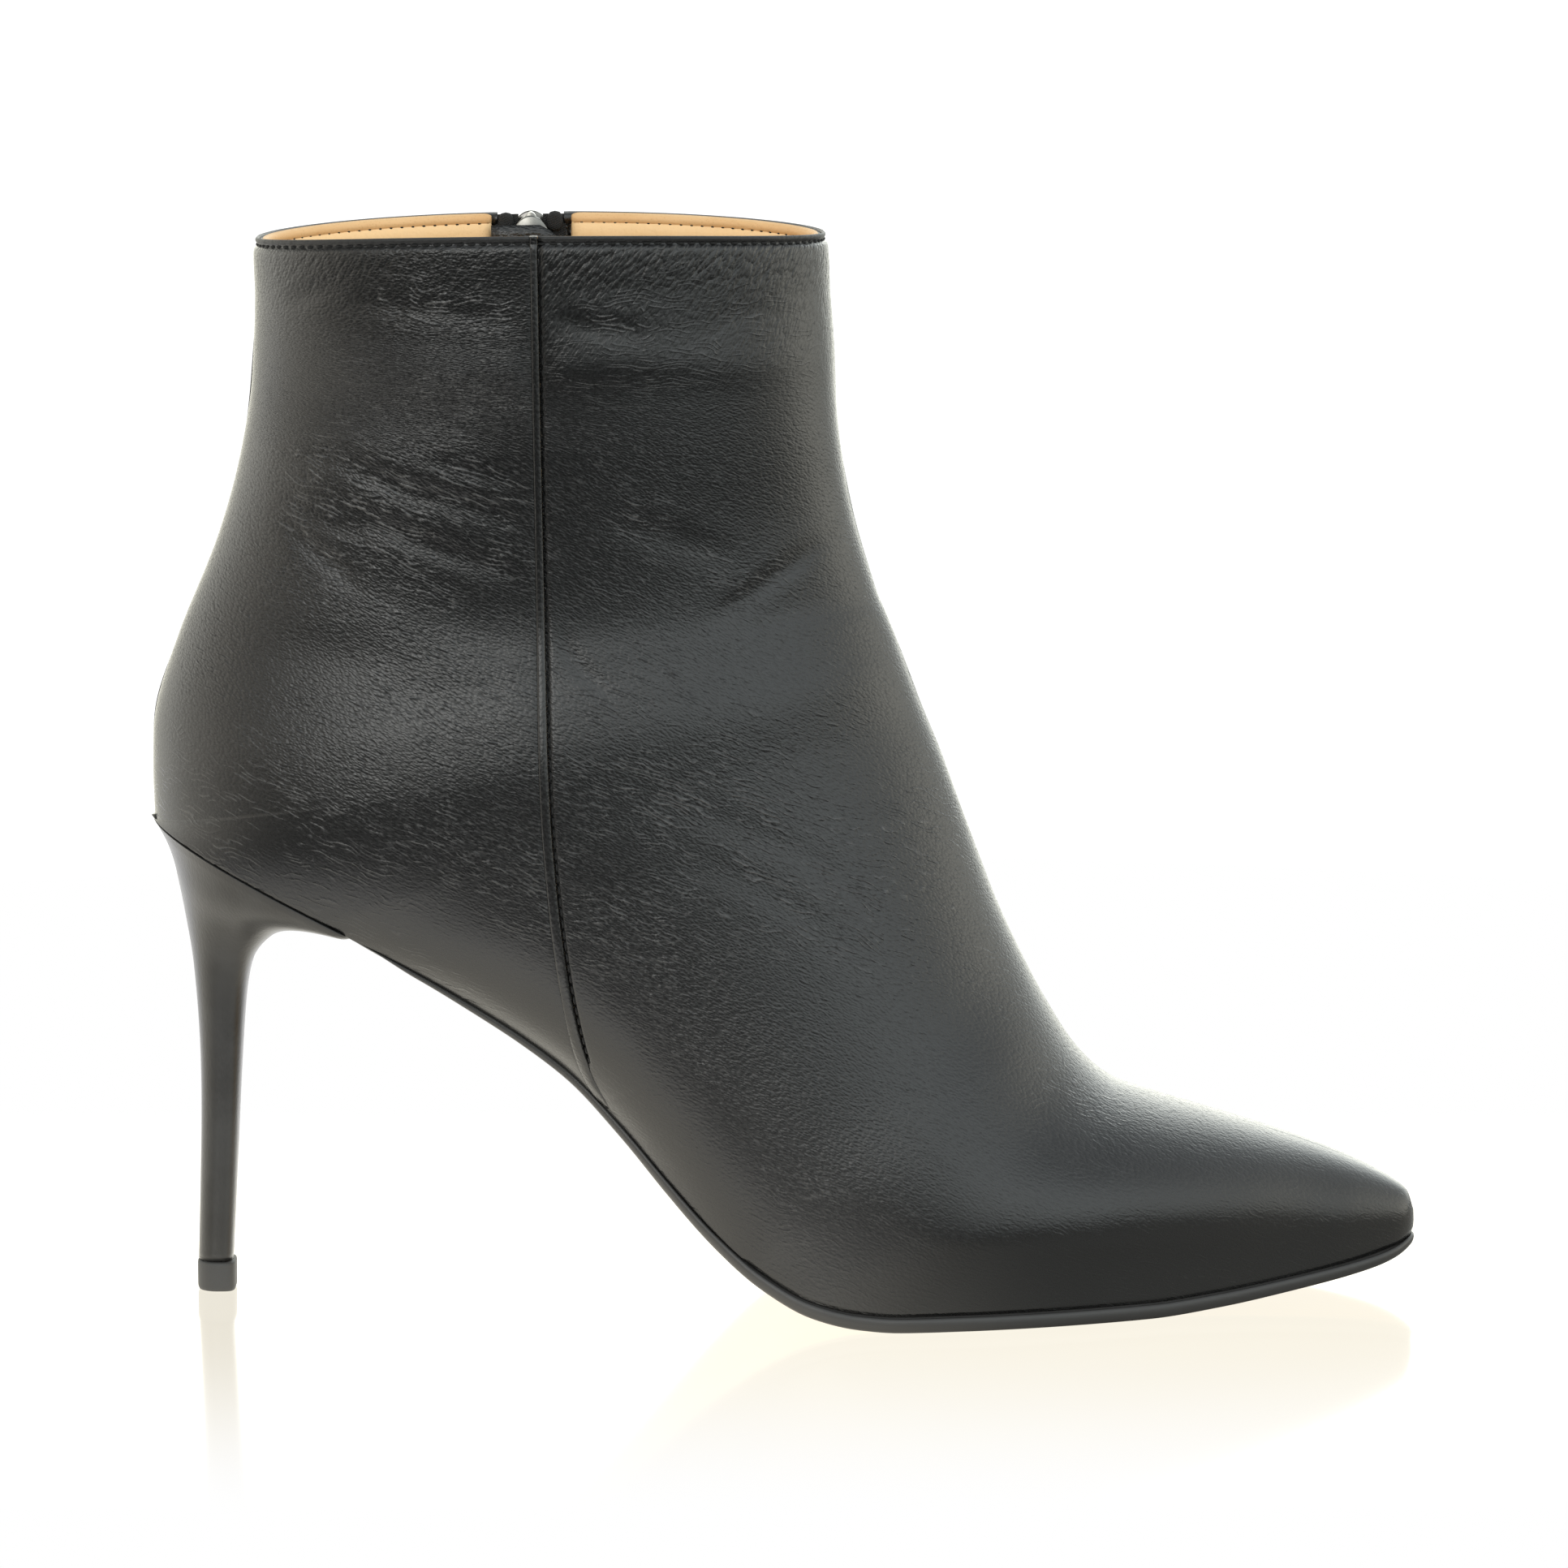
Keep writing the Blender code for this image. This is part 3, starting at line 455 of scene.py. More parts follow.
class Last:
    """Outer form of the boot: sections that fan from the collar round the heel to the toe."""

    def __init__(self) -> None:
        """Prepare the smooth lines through the tables."""
        resting = ("back_x", "back_z")
        self.columns = {
            name: Curve.through_rows(SECTIONS, name, HEEL_ROW if name in resting else None)
            for name in SectionRow._fields
        }
        self.sides = {
            Side.LATERAL: Curve.without_overshoot(OUTLINE, "lateral", "x"),
            Side.MEDIAL: Curve.without_overshoot(OUTLINE, "medial", "x"),
        }
        self.feather_line = Curve.without_overshoot(PROFILE, "feather", "x")
        self.sole_line = Curve.without_overshoot(PROFILE, "sole", "x")
        self.seam_line = Curve.without_overshoot(SEAM, "x", "z")

    def outline(self, x: Array, side: Side) -> Array:
        """Half width of the feather line on one side.

        Args:
            x: Places along the boot.
            side: Side of the boot.

        Returns:
            The half widths.
        """
        x = np.asarray(x, float)
        reach = np.clip((SEAT_WIDEST_X - x) / (SEAT_WIDEST_X + BOOT_LENGTH / 2), 0.0, 1.0)
        seat = SEAT_HALF_WIDTH * (1.0 - reach ** SEAT_POWER) ** (1.0 / SEAT_POWER)
        half = np.where(x < SEAT_WIDEST_X, seat, self.sides[side](x))
        centre = side.value * TOE_TIP_Y
        nose = centre + (half - centre) * self.nose(x, BOOT_LENGTH / 2)
        return np.where(x > NOSE_START_X, nose, half)

    @staticmethod
    def nose(x: Array, tip_x: float) -> Array:
        """How the toe's width shrinks to its rounded tip."""
        return np.sqrt(np.clip((tip_x - x) / (tip_x - NOSE_START_X), 0.0, 1.0))

    def feather(self, x: Array) -> Array:
        """Height of the feather line, a straight slope along the heel seat."""
        x = np.asarray(x, float)
        seat = HEEL_SEAT_HEIGHT - SEAT_SLOPE * (x + BOOT_LENGTH / 2)
        return np.where(x < PROFILE[0].x, seat, self.feather_line(x))

    def point(self, t: Array, side: Side, q: Array) -> Array:
        """Points of the outer face.

        Args:
            t: Running row number of the section.
            side: Side of the boot.
            q: Place on the section, from the front ridge (0) to the back or feather (1).

        Returns:
            Points in millimetres, with a last axis of three.
        """
        t, q = np.broadcast_arrays(np.asarray(t, float), np.asarray(q, float))
        row = {name: curve(t) for name, curve in self.columns.items()}
        ridge = row["ridge_y"]
        half = row["lateral" if side is Side.LATERAL else "medial"] - side.value * ridge
        below = t > HEEL_ROW
        back_z = np.where(below, self.feather(row["back_x"]), row["back_z"])
        base = self.outline(np.minimum(row["back_x"], NOSE_START_X), side) - side.value * ridge
        nose = np.where(row["back_x"] > NOSE_START_X, self.nose(row["back_x"], UPPER_TIP_X), 1.0)
        half = half * nose
        base = np.where(below, base, 0.0) * nose
        front_angle = np.pi * np.minimum(q, 0.5)
        front_part = 1.0 - np.maximum(0.0, np.cos(front_angle)) ** (2.0 / row["front_power"])
        front_out = half * np.sin(front_angle) ** (2.0 / row["front_power"])
        run = np.clip(2.0 * q - 1.0, 0.0, 1.0)
        power = row["back_power"]
        openness = np.clip(base / np.maximum(half, TINY), 0.0, 1.0)
        reach = np.maximum((1.0 - openness ** power) ** (1.0 / power), TINY)
        back_angle = run * np.arccos(openness ** (power / 2.0))
        flared = half <= base
        back_part = np.where(flared, run, np.sin(back_angle) ** (2.0 / power) / reach)
        trimmed = half * np.maximum(0.0, np.cos(back_angle)) ** (2.0 / power)
        back_out = np.where(flared, half + (base - half) * run * run, trimmed)
        in_front = q <= 0.5
        from_x = np.where(in_front, row["front_x"], row["wide_x"])
        from_z = np.where(in_front, row["front_z"], row["wide_z"])
        to_x = np.where(in_front, row["wide_x"], row["back_x"])
        to_z = np.where(in_front, row["wide_z"], back_z)
        part = np.where(in_front, front_part, back_part)
        out = np.where(in_front, front_out, back_out)
        x = from_x + part * (to_x - from_x)
        z = from_z + part * (to_z - from_z) + row["crown"] * (out / np.maximum(half, TINY)) ** 2
        return np.stack((x, ridge + side.value * out, z), axis=-1)

    def normal(self, t: Array, side: Side, q: Array) -> Array:
        """Outward directions of the outer face.

        Args:
            t: Running row number of the section.
            side: Side of the boot.
            q: Place on the section.

        Returns:
            Unit vectors, with a last axis of three.
        """
        step = 0.01
        t, q = np.broadcast_arrays(np.asarray(t, float), np.asarray(q, float))
        along = self.point(np.minimum(t + step, LAST_ROW), side, q)
        along = along - self.point(np.maximum(t - step, 0.0), side, q)
        around = self.point(t, side, np.minimum(q + step, 1.0))
        around = around - self.point(t, side, np.maximum(q - step, 0.0))
        return unit(np.cross(along, around) * side.value)

    def line_q(self, t: Array, side: Side, offset: Array) -> Array:
        """Place q where sections cross the side seam, or the zip line, beside it by an offset.

        Args:
            t: Running row numbers.
            side: Side of the boot; the medial side has the zip.
            offset: Distance towards the toe.

        Returns:
            Places q, at most 1 where the line has met the sole.
        """
        t, offset = np.broadcast_arrays(np.asarray(t, float), np.asarray(offset, float))
        shift = ZIP_SHIFT if side is Side.MEDIAL else 0.0
        low, high = np.full(t.shape, 0.02), np.full(t.shape, 1.0)
        for _ in range(34):
            middle = (low + high) / 2
            place = self.point(t, side, middle)
            ahead = place[..., 0] > self.seam_line(place[..., 2]) + shift + offset
            low = np.where(ahead, middle, low)
            high = np.where(ahead, high, middle)
        return (low + high) / 2

    def line_end(self, side: Side, offset: float) -> float:
        """Running row number where the seam or zip line meets the sole."""
        rows = np.linspace(HEEL_ROW, HEEL_ROW + 9.0, 901)
        inside = self.line_q(rows, side, offset) < 0.998
        return float(rows[inside][-1])


LAST = Last()


def to_mesh(name: str, points: Array, faces: Sequence[Sequence[int]]) -> Mesh:
    """Smooth-shaded mesh from points in millimetres.

    Args:
        name: Name of the mesh.
        points: Points, three numbers each.
        faces: Corner numbers of each face.

    Returns:
        The mesh in metres.
    """
    mesh = bpy.data.meshes.new(name)
    mesh.from_pydata((np.asarray(points).reshape(-1, 3) * MM).tolist(), [], faces)
    mesh.validate()
    mesh.shade_smooth()
    return mesh


def weld(mesh: Mesh) -> Mesh:
    """Join points that lie on each other and turn the faces outward.

    Args:
        mesh: The mesh to clean.

    Returns:
        The same mesh.
    """
    work = bmesh.new()
    work.from_mesh(mesh)
    bmesh.ops.remove_doubles(work, verts=work.verts, dist=WELD_REACH * MM)
    bmesh.ops.dissolve_degenerate(work, edges=work.edges, dist=WELD_REACH * MM * 0.1)
    bmesh.ops.recalc_face_normals(work, faces=work.faces)
    work.to_mesh(mesh)
    work.free()
    mesh.shade_smooth()
    return mesh


def grid_numbers(grid: Array, start: int = 0) -> Array:
    """Point numbers of a grid of points, in its rows and columns."""
    rows, columns = grid.shape[:2]
    return start + np.arange(rows * columns).reshape(rows, columns)


def grid_faces(index: Array, flip: bool = False, wrap: bool = False) -> Array:
    """Four-cornered faces of a grid of point numbers.

    Args:
        index: Point numbers in rows and columns.
        flip: Turn the faces over.
        wrap: Close the columns into a ring.

    Returns:
        One row of four point numbers for each face.
    """
    if wrap:
        index = np.concatenate((index, index[:, :1]), axis=1)
    corners = (index[:-1, :-1], index[1:, :-1], index[1:, 1:], index[:-1, 1:])
    faces = np.stack([corner.ravel() for corner in corners], axis=1)
    return faces[:, ::-1] if flip else faces


def tube_faces(index: Array) -> list[list[int]]:
    """Faces of loops of point numbers, capped at both ends."""
    return [*grid_faces(index, wrap=True).tolist(), index[0].tolist(), index[-1, ::-1].tolist()]


def loft(name: str, loops: Array) -> Mesh:
    """Closed solid through loops of points."""
    loops = np.asarray(loops, float)
    return weld(to_mesh(name, loops, tube_faces(grid_numbers(loops))))


def set_numbers(mesh: Mesh, name: str, values: Array) -> None:
    """Store one number for each point of a mesh."""
    layer = mesh.attributes.new(name, "FLOAT", "POINT")
    layer.data.foreach_set("value", np.asarray(values, np.float32).ravel())


def set_vectors(mesh: Mesh, name: str, values: Array) -> None:
    """Store three numbers for each point of a mesh."""
    layer = mesh.attributes.new(name, "FLOAT_VECTOR", "POINT")
    layer.data.foreach_set("vector", np.asarray(values, np.float32).ravel())


def place_points(mesh: Mesh) -> Array:
    """Points of a mesh in millimetres."""
    return np.array([vertex.co for vertex in mesh.vertices]) / MM


def lay_leather(mesh: Mesh, wrinkle: Any, fold_space: Array, skin: Any) -> None:
    """Store what the upper's leather reads at each point of a mesh.

    Args:
        mesh: The mesh to dress.
        wrinkle: How strongly fine wrinkles show, for each point or for all.
        fold_space: Coordinates along, through and across the wrinkles.
        skin: Distance round the boot, distance below the collar and strength of the grain.
    """
    count = len(mesh.vertices)
    set_numbers(mesh, "wrinkle", np.broadcast_to(wrinkle, count))
    set_vectors(mesh, "fold_space", fold_space)
    set_vectors(mesh, "skin", np.broadcast_to(skin, (count, 3)))


def thicken(piece: Piece, thickness: float) -> None:
    """Give a sheet a thickness on its inner side."""
    wall = piece.modifiers.new("wall", "SOLIDIFY")
    wall.thickness = thickness * MM
    wall.offset = -1.0


def place_piece(mesh: Mesh, material: bpy.types.Material) -> Piece:
    """New object in the scene, named as its mesh, with its material.

    Args:
        mesh: The piece's mesh.
        material: Its material.

    Returns:
        The new object.
    """
    piece = bpy.data.objects.new(mesh.name, mesh)
    mesh.materials.clear()
    mesh.materials.append(material)
    bpy.context.scene.collection.objects.link(piece)
    return piece


def hand_over(piece: Piece, slot: str, *nodes: str, body: str = "boot") -> Piece:
    """Let a piece ride on a body and stand for CAD nodes, which are hidden.

    Args:
        piece: The dressed piece.
        slot: Name of a material slot; not used.
        nodes: CAD nodes that it stands for.
        body: Name of the body that carries it.

    Returns:
        The same piece.
    """
    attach(piece, body)
    if nodes:
        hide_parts(*nodes)
    return piece


def report(piece: Piece) -> None:
    """Log a piece's name and its number of triangles."""
    shape = piece.evaluated_get(bpy.context.evaluated_depsgraph_get()).data
    shape.calc_loop_triangles()
    LOG.info("%s: %d triangles", piece.name, len(shape.loop_triangles))


def stamp(name: str, template: Array, faces: Sequence[Sequence[int]], frames: Array) -> Mesh:
    """Join copies of a small shape, one in each frame.

    Args:
        name: Name of the mesh.
        template: Points of the small shape, along, across and up.
        faces: Its faces.
        frames: For each copy a place and three directions, shaped (copies, 4, 3).

    Returns:
        One mesh with every copy.
    """
    count = len(template)
    points = frames[:, None, 0] + np.einsum("kc,ncd->nkd", template, frames[:, 1:])
    copies = np.arange(len(frames)) * count
    joined = [[corner + start for corner in face] for start in copies.tolist() for face in faces]
    return to_mesh(name, points, joined)


class Value:
    """A socket of a material; arithmetic on it adds Math nodes."""

    def __init__(self, graph: "Graph", socket: bpy.types.NodeSocket) -> None:
        """Keep the socket and the graph that it belongs to."""
        self.graph = graph
        self.socket = socket

    def _math(self, operation: str, *terms: "Value | float") -> "Value":
        """Math node on the given terms."""
        return self.graph.node("ShaderNodeMath", {"operation": operation}, dict(enumerate(terms)))

    def __add__(self, other: "Value | float") -> "Value":
        """Sum."""
        return self._math("ADD", self, other)

    __radd__ = __add__

    def __sub__(self, other: "Value | float") -> "Value":
        """Difference."""
        return self._math("SUBTRACT", self, other)

    def __rsub__(self, other: "Value | float") -> "Value":
        """Reflected difference."""
        return self._math("SUBTRACT", other, self)

    def __mul__(self, other: "Value | float") -> "Value":
        """Product."""
        return self._math("MULTIPLY", self, other)

    __rmul__ = __mul__

    def __pow__(self, other: "Value | float") -> "Value":
        """Power."""
        return self._math("POWER", self, other)

    def __abs__(self) -> "Value":
        """Size without sign."""
        return self._math("ABSOLUTE", self)

    def sine(self) -> "Value":
        """Sine."""
        return self._math("SINE", self)

    def exponential(self) -> "Value":
        """Natural exponential."""
        return self._math("EXPONENT", self)

    def ease(self, low: float, high: float) -> "Value":
        """Ease from 0 at low to 1 at high."""
        settings = {"interpolation_type": "SMOOTHSTEP"}
        return self.graph.node("ShaderNodeMapRange", settings, {0: self, 1: low, 2: high})

    def part(self, axis: int) -> "Value":
        """One coordinate of a vector socket."""
        return self.graph.node("ShaderNodeSeparateXYZ", {}, {0: self}, axis)


class Graph:
    """Node tree of a material or world, written as expressions."""

    def __init__(self, tree: bpy.types.NodeTree) -> None:
        """Start an empty tree."""
        self.tree = tree
        tree.nodes.clear()

    def node(
        self,
        kind: str,
        settings: dict[str, Any] | None = None,
        inputs: dict[int | str, Any] | None = None,
        output: int | str = 0,
    ) -> Value:
        """Add a node.

        Args:
            kind: Blender's node type.
            settings: Properties, set first.
            inputs: Values or links by socket name or number.
            output: The socket to return.

        Returns:
            The wrapped output socket.
        """
        node = self.tree.nodes.new(kind)
        for key, value in (settings or {}).items():
            setattr(node, key, value)
        for key, value in (inputs or {}).items():
            if isinstance(value, Value):
                self.tree.links.new(value.socket, node.inputs[key])
            else:
                node.inputs[key].default_value = value
        return Value(self, node.outputs[output] if node.outputs else None)

    def vector(self, operation: str, first: Any, second: Any) -> Value:
        """Vector Math node."""
        return self.node("ShaderNodeVectorMath", {"operation": operation}, {0: first, 1: second})

    def mix(self, factor: "Value | float", first: Any, second: Any) -> Value:
        """Mix of two colours."""
        inputs = {0: factor, 6: first, 7: second}
        return self.node("ShaderNodeMix", {"data_type": "RGBA"}, inputs, 2)

    def place(self) -> Value:
        """The object's own coordinates, in metres."""
        return self.node("ShaderNodeTexCoord", output="Object")

    def number(self, name: str) -> Value:
        """A number stored on the mesh."""
        return self.node("ShaderNodeAttribute", {"attribute_name": name}, output="Fac")

    def stored(self, name: str) -> Value:
        """A vector stored on the mesh."""
        return self.node("ShaderNodeAttribute", {"attribute_name": name}, output="Vector")

    def noise(self, vector: Value, scale: float, detail: float = 2.0, roughness: float = 0.5) -> Value:
        """Noise from 0 to 1."""
        inputs = {"Vector": vector, "Scale": scale, "Detail": detail, "Roughness": roughness}
        return self.node("ShaderNodeTexNoise", {}, inputs)

    def cells(self, vector: Value, size: float = 1.0) -> Value:
        """Distance from the middles of cells of a size, in shares of it."""
        return self.node("ShaderNodeTexVoronoi", {}, {"Vector": vector, "Scale": 1.0 / size})

    def bump(self, height: Value) -> Value:
        """Normal from a height in millimetres."""
        return self.node("ShaderNodeBump", {}, {"Strength": 1.0, "Distance": MM, "Height": height})

    def surface(self, shader: Value) -> None:
        """Use a shader for the surface."""
        self.node("ShaderNodeOutputMaterial", {}, {"Surface": shader})


Colour = tuple[float, float, float, float]


def grey(level: float, warmth: float = 0.0) -> Colour:
    """Grey in linear light, warmer where warmth is above zero."""
    return (level * (1.0 + warmth), level, level * (1.0 - warmth), 1.0)


@dataclass(frozen=True)
class Finish:
    """A surface finish; subclasses add what varies over it."""

    name: str
    colour: Colour
    roughness: float = 0.5

    def dress(self, graph: Graph) -> dict[str, Any]:
        """Inputs of the shader, as values or links."""
        return {"Base Color": self.colour, "Roughness": self.roughness}

    def material(self) -> bpy.types.Material:
        """The finish as a material, made once.

        Returns:
            The material.
        """
        found = bpy.data.materials.get(self.name)
        if found is not None:
            return found
        material = bpy.data.materials.new(self.name)
        material.use_nodes = True
        graph = Graph(material.node_tree)
        graph.surface(graph.node("ShaderNodeBsdfPrincipled", {}, self.dress(graph)))
        return material


@dataclass(frozen=True)
class SatinLeather(Finish):
    """Black grain leather: small scales, thin crests along its folds painted lighter as a painted highlight,
    slanted strokes under the collar.
    """

    # The light grey is painted along the fold crests as a painted highlight where they catch light, partly
    # rubbed wear, and is mixed in a little at random.
    light: Colour = grey(0.045)
    # The collar's very top edge is lighter: partly a raw cut edge, partly a painted highlight along the
    # rounded rim.
    raw: Colour = grey(0.07)
    grain: float = 0.42
    grain_depth: float = 0.04
    fold: float = 1.0
    fold_depth: float = 0.075
    crimp: Span = (0.62, 2.2)
    crimp_depth: float = 0.15
    lean: Span = (0.82, 0.57)
    rim: float = 0.9
    rim_colour: Colour = grey(0.005)

    @staticmethod
    def cells(graph: Graph, space: Value, sizes: tuple[float, float, float]) -> Value:
        """Cells of given sizes in millimetres: about 1 in their middles, 0 at their borders."""
        return 1.0 - (graph.cells(graph.vector("DIVIDE", space, sizes)) * 1.35) ** 2.0

    def slanted(self, graph: Graph, skin: Value, fine: Value) -> Value:
        """Coordinates across and along the strokes that lean forward under the collar.

        Args:
            graph: The material's nodes.
            skin: Places round the boot and below the collar.
            fine: Noise that bends the strokes a little.

        Returns:
            The coordinates as a vector.
        """
        around, below = skin.part(0), skin.part(1)
        upright, forward = self.lean
        across = around * upright + below * forward + fine * 0.2
        along = below * upright - around * forward
        return graph.node("ShaderNodeCombineXYZ", {}, {0: across, 1: along})

    def crests(self, graph: Graph, space: Value) -> Value:
        """Thin wavy lines along the folds, broken into short lengths.

        Args:
            graph: The material's nodes.
            space: Coordinates along, through and across the wrinkles.

        Returns:
            1 on the lines and 0 between them.
        """
        stretched = graph.vector("DIVIDE", space, (2.4, 2.4, 1.0))
        lane = space.part(2) + graph.noise(space, 0.1, 1.0) * 6.0 + graph.noise(stretched, 0.45, 1.0) * 2.6
        lengths = graph.noise(graph.vector("DIVIDE", space, (4.0, 4.0, 1.2)), 1.0, 1.0)
        return (1.0 - abs((lane * (math.pi / self.fold)).sine())) ** 2.2 * lengths.ease(0.42, 0.6)

    def dress(self, graph: Graph) -> dict[str, Any]:
        """Inputs of the shader, as values or links.

        Args:
            graph: The material's nodes.

        Returns:
            The inputs by their names.
        """
        space, skin = graph.stored("fold_space"), graph.stored("skin")
        around, below, grain = skin.part(0), skin.part(1), skin.part(2)
        patches = graph.noise(space, 0.06, 3.0)
        fine = graph.noise(space, 2.8, 2.0)
        drift = graph.node("ShaderNodeTexNoise", {}, {"Vector": space, "Scale": 0.8, "Detail": 1.0}, "Color")
        bent = graph.vector("ADD", space, graph.vector("MULTIPLY", drift, (0.5, 0.5, 0.5)))
        leaning = self.slanted(graph, skin, fine)
        front = 1.0 - around.ease(100.0, 140.0)
        lean = (1.0 - below.ease(14.0, 40.0)) * front
        level = self.cells(graph, bent, (self.grain * 1.8, self.grain * 1.5, self.grain))
        leant = self.cells(graph, leaning, (self.grain * 1.1, self.grain * 2.4, 1.0))
        scales = level + (leant - level) * lean
        strokes = self.cells(graph, leaning, (*self.crimp, 1.0))
        close = 0.6 - below.ease(4.0, 14.0) * 0.6
        wide = 0.3 - below.ease(10.0, 36.0) * 0.3
        crimps = strokes * below.ease(1.4, 2.2) * (close + wide) * (0.3 + front * 0.7)
        wrinkles = graph.number("wrinkle") * patches.ease(0.3, 0.56)
        folds = self.crests(graph, space) * wrinkles
        height = (
            scales * (0.7 + patches * 0.6) * grain * self.grain_depth
            + fine * 0.012
            + folds * self.fold_depth
            + crimps * self.crimp_depth
        )
        # Painted highlight: the fold crests, most on the scales' raised middles, are painted lighter as if
        # they catch light, partly as rubbed wear; the patches add random tone.
        tone = (patches - 0.5) * 0.05 + folds * (0.5 + scales * 0.5)
        rim = 1.0 - below.ease(self.rim - 0.15, self.rim + 0.25)
        # Painted highlight along the rounded top edge, partly the raw cut edge's own lighter colour.
        edge = 1.0 - below.ease(0.02, 0.2)
        leather = graph.mix(tone.ease(0.0, 1.0), self.colour, self.light)
        banded = graph.mix(rim, leather, self.rim_colour)
        return {
            "Base Color": graph.mix(edge, banded, self.raw),
            "Roughness": self.roughness + (0.7 - scales) * grain * 0.1 - folds * 0.05 + rim * 0.25,
            "Normal": graph.bump(height),
            "IOR": 1.5,
        }


@dataclass(frozen=True)
class SmoothLeather(Finish):
    """Leather stretched over a hard form, with a faint grain along its height."""

    grain: float = 0.5
    grain_depth: float = 0.02
    light: Colour = grey(0.018)

    def dress(self, graph: Graph) -> dict[str, Any]:
        """Inputs of the shader, as values or links.

        Args:
            graph: The material's nodes.

        Returns:
            The inputs by their names.
        """
        place = graph.place()
        stretched = graph.vector("MULTIPLY", place, (1.0, 1.0, 0.45))
        patches = graph.noise(place, 120.0, 3.0)
        height = (1.0 - graph.cells(stretched, self.grain * MM)) * self.grain_depth + patches * 0.008
        return {
            "Base Color": graph.mix(patches.ease(0.3, 0.8), self.colour, self.light),
            "Roughness": self.roughness + (patches - 0.5) * 0.1,
            "Normal": graph.bump(height),
            "IOR": 1.42,
        }


@dataclass(frozen=True)
class LiningLeather(Finish):
    """Tan lining leather with pores, soft puckers and a stitched band along its top."""

    shade: Colour = (0.55, 0.31, 0.125, 1.0)
    pore: float = 0.55

    def dress(self, graph: Graph) -> dict[str, Any]:
        """Inputs of the shader, as values or links.

        Args:
            graph: The material's nodes.

        Returns:
            The inputs by their names.
        """
        place = graph.place()
        pores = graph.cells(place, self.pore * MM)
        puckers = graph.noise(graph.vector("MULTIPLY", place, (1.0, 1.0, 0.5)), 260.0, 3.0)
        patches = graph.noise(place, 60.0, 3.0)
        below = graph.stored("skin").part(1)
        band = 1.0 - below.ease(0.8, 1.4)
        tone = patches * 0.55 + band * 0.45 + (1.0 - pores.ease(0.0, 0.35)) * 0.25
        height = pores * 0.03 + puckers * 0.2
        return {
            "Base Color": graph.mix(tone.ease(0.25, 1.1), self.colour, self.shade),
            "Roughness": self.roughness + (patches - 0.5) * 0.15,
            "Normal": graph.bump(height),
        }


@dataclass(frozen=True)
class SoleLeather(Finish):
    """Sole leather: a painted edge and a natural underside with a brushed surface."""

    tread: Colour = (0.62, 0.43, 0.24, 1.0)
    tread_shade: Colour = (0.45, 0.29, 0.15, 1.0)

    def dress(self, graph: Graph) -> dict[str, Any]:
        """Inputs of the shader, as values or links.

        Args:
            graph: The material's nodes.

        Returns:
            The inputs by their names.
        """
        place = graph.place()
        under = graph.number("tread").ease(0.3, 0.7)
        brushed = graph.noise(graph.vector("MULTIPLY", place, (0.25, 1.0, 1.0)), 900.0, 3.0)
        patches = graph.noise(place, 70.0, 3.0)
        natural = graph.mix((patches * 0.7 + brushed * 0.5).ease(0.35, 0.9), self.tread, self.tread_shade)
        return {
            "Base Color": graph.mix(under, self.colour, natural),
            "Roughness": self.roughness + under * 0.12 + (brushed - 0.5) * 0.1,
            "Normal": graph.bump(brushed * 0.03 + patches * 0.06),
        }


@dataclass(frozen=True)
class Rubber(Finish):
    """Matt rubber with a fine moulded texture."""

    def dress(self, graph: Graph) -> dict[str, Any]:
        """Inputs of the shader, as values or links.

        Args:
            graph: The material's nodes.

        Returns:
            The inputs by their names.
        """
        grit = graph.noise(graph.place(), 2600.0, 2.0)
        return {
            "Base Color": graph.mix(grit, self.colour, grey(self.colour[1] * 1.6)),
            "Roughness": self.roughness + (grit - 0.5) * 0.15,
            "Normal": graph.bump(grit * 0.02),
        }


@dataclass(frozen=True)
class Woven(Finish):
    """Woven or twisted yarn, for the zip tapes and the thread."""

    pitch: float = 0.45
    depth: float = 0.07

    def dress(self, graph: Graph) -> dict[str, Any]:
        """Inputs of the shader, as values or links.

        Args:
            graph: The material's nodes.

        Returns:
            The inputs by their names.
        """
        place = graph.place()
        turn = 2.0 * math.pi / (self.pitch * MM)
        warp = ((place.part(0) + place.part(1) * 0.4) * turn).sine()
        weft = ((place.part(2) + place.part(0) * 0.5) * turn).sine()
        weave = warp * weft
        fuzz = graph.noise(place, 3200.0, 2.0)
        return {
            "Base Color": graph.mix(weave.ease(-0.6, 0.9), self.colour, grey(self.colour[1] * 2.2)),
            "Roughness": self.roughness + (fuzz - 0.5) * 0.2,
            "Normal": graph.bump(weave * self.depth + fuzz * 0.03),
        }


@dataclass(frozen=True)
class DarkMetal(Finish):
    """Dark plated metal with faint brushing."""

    def dress(self, graph: Graph) -> dict[str, Any]:
        """Inputs of the shader, as values or links.

        Args:
            graph: The material's nodes.

        Returns:
            The inputs by their names.
        """
        place = graph.place()
        brushed = graph.noise(graph.vector("MULTIPLY", place, (1.0, 1.0, 0.15)), 2400.0, 2.0)
        spots = graph.noise(place, 350.0, 3.0)
        return {
            "Base Color": graph.mix(spots.ease(0.35, 0.75), self.colour, grey(self.colour[1] * 0.6, 0.04)),
            "Roughness": self.roughness + (brushed - 0.5) * 0.12,
            "Metallic": 1.0,
            "Normal": graph.bump(brushed * 0.006),
        }


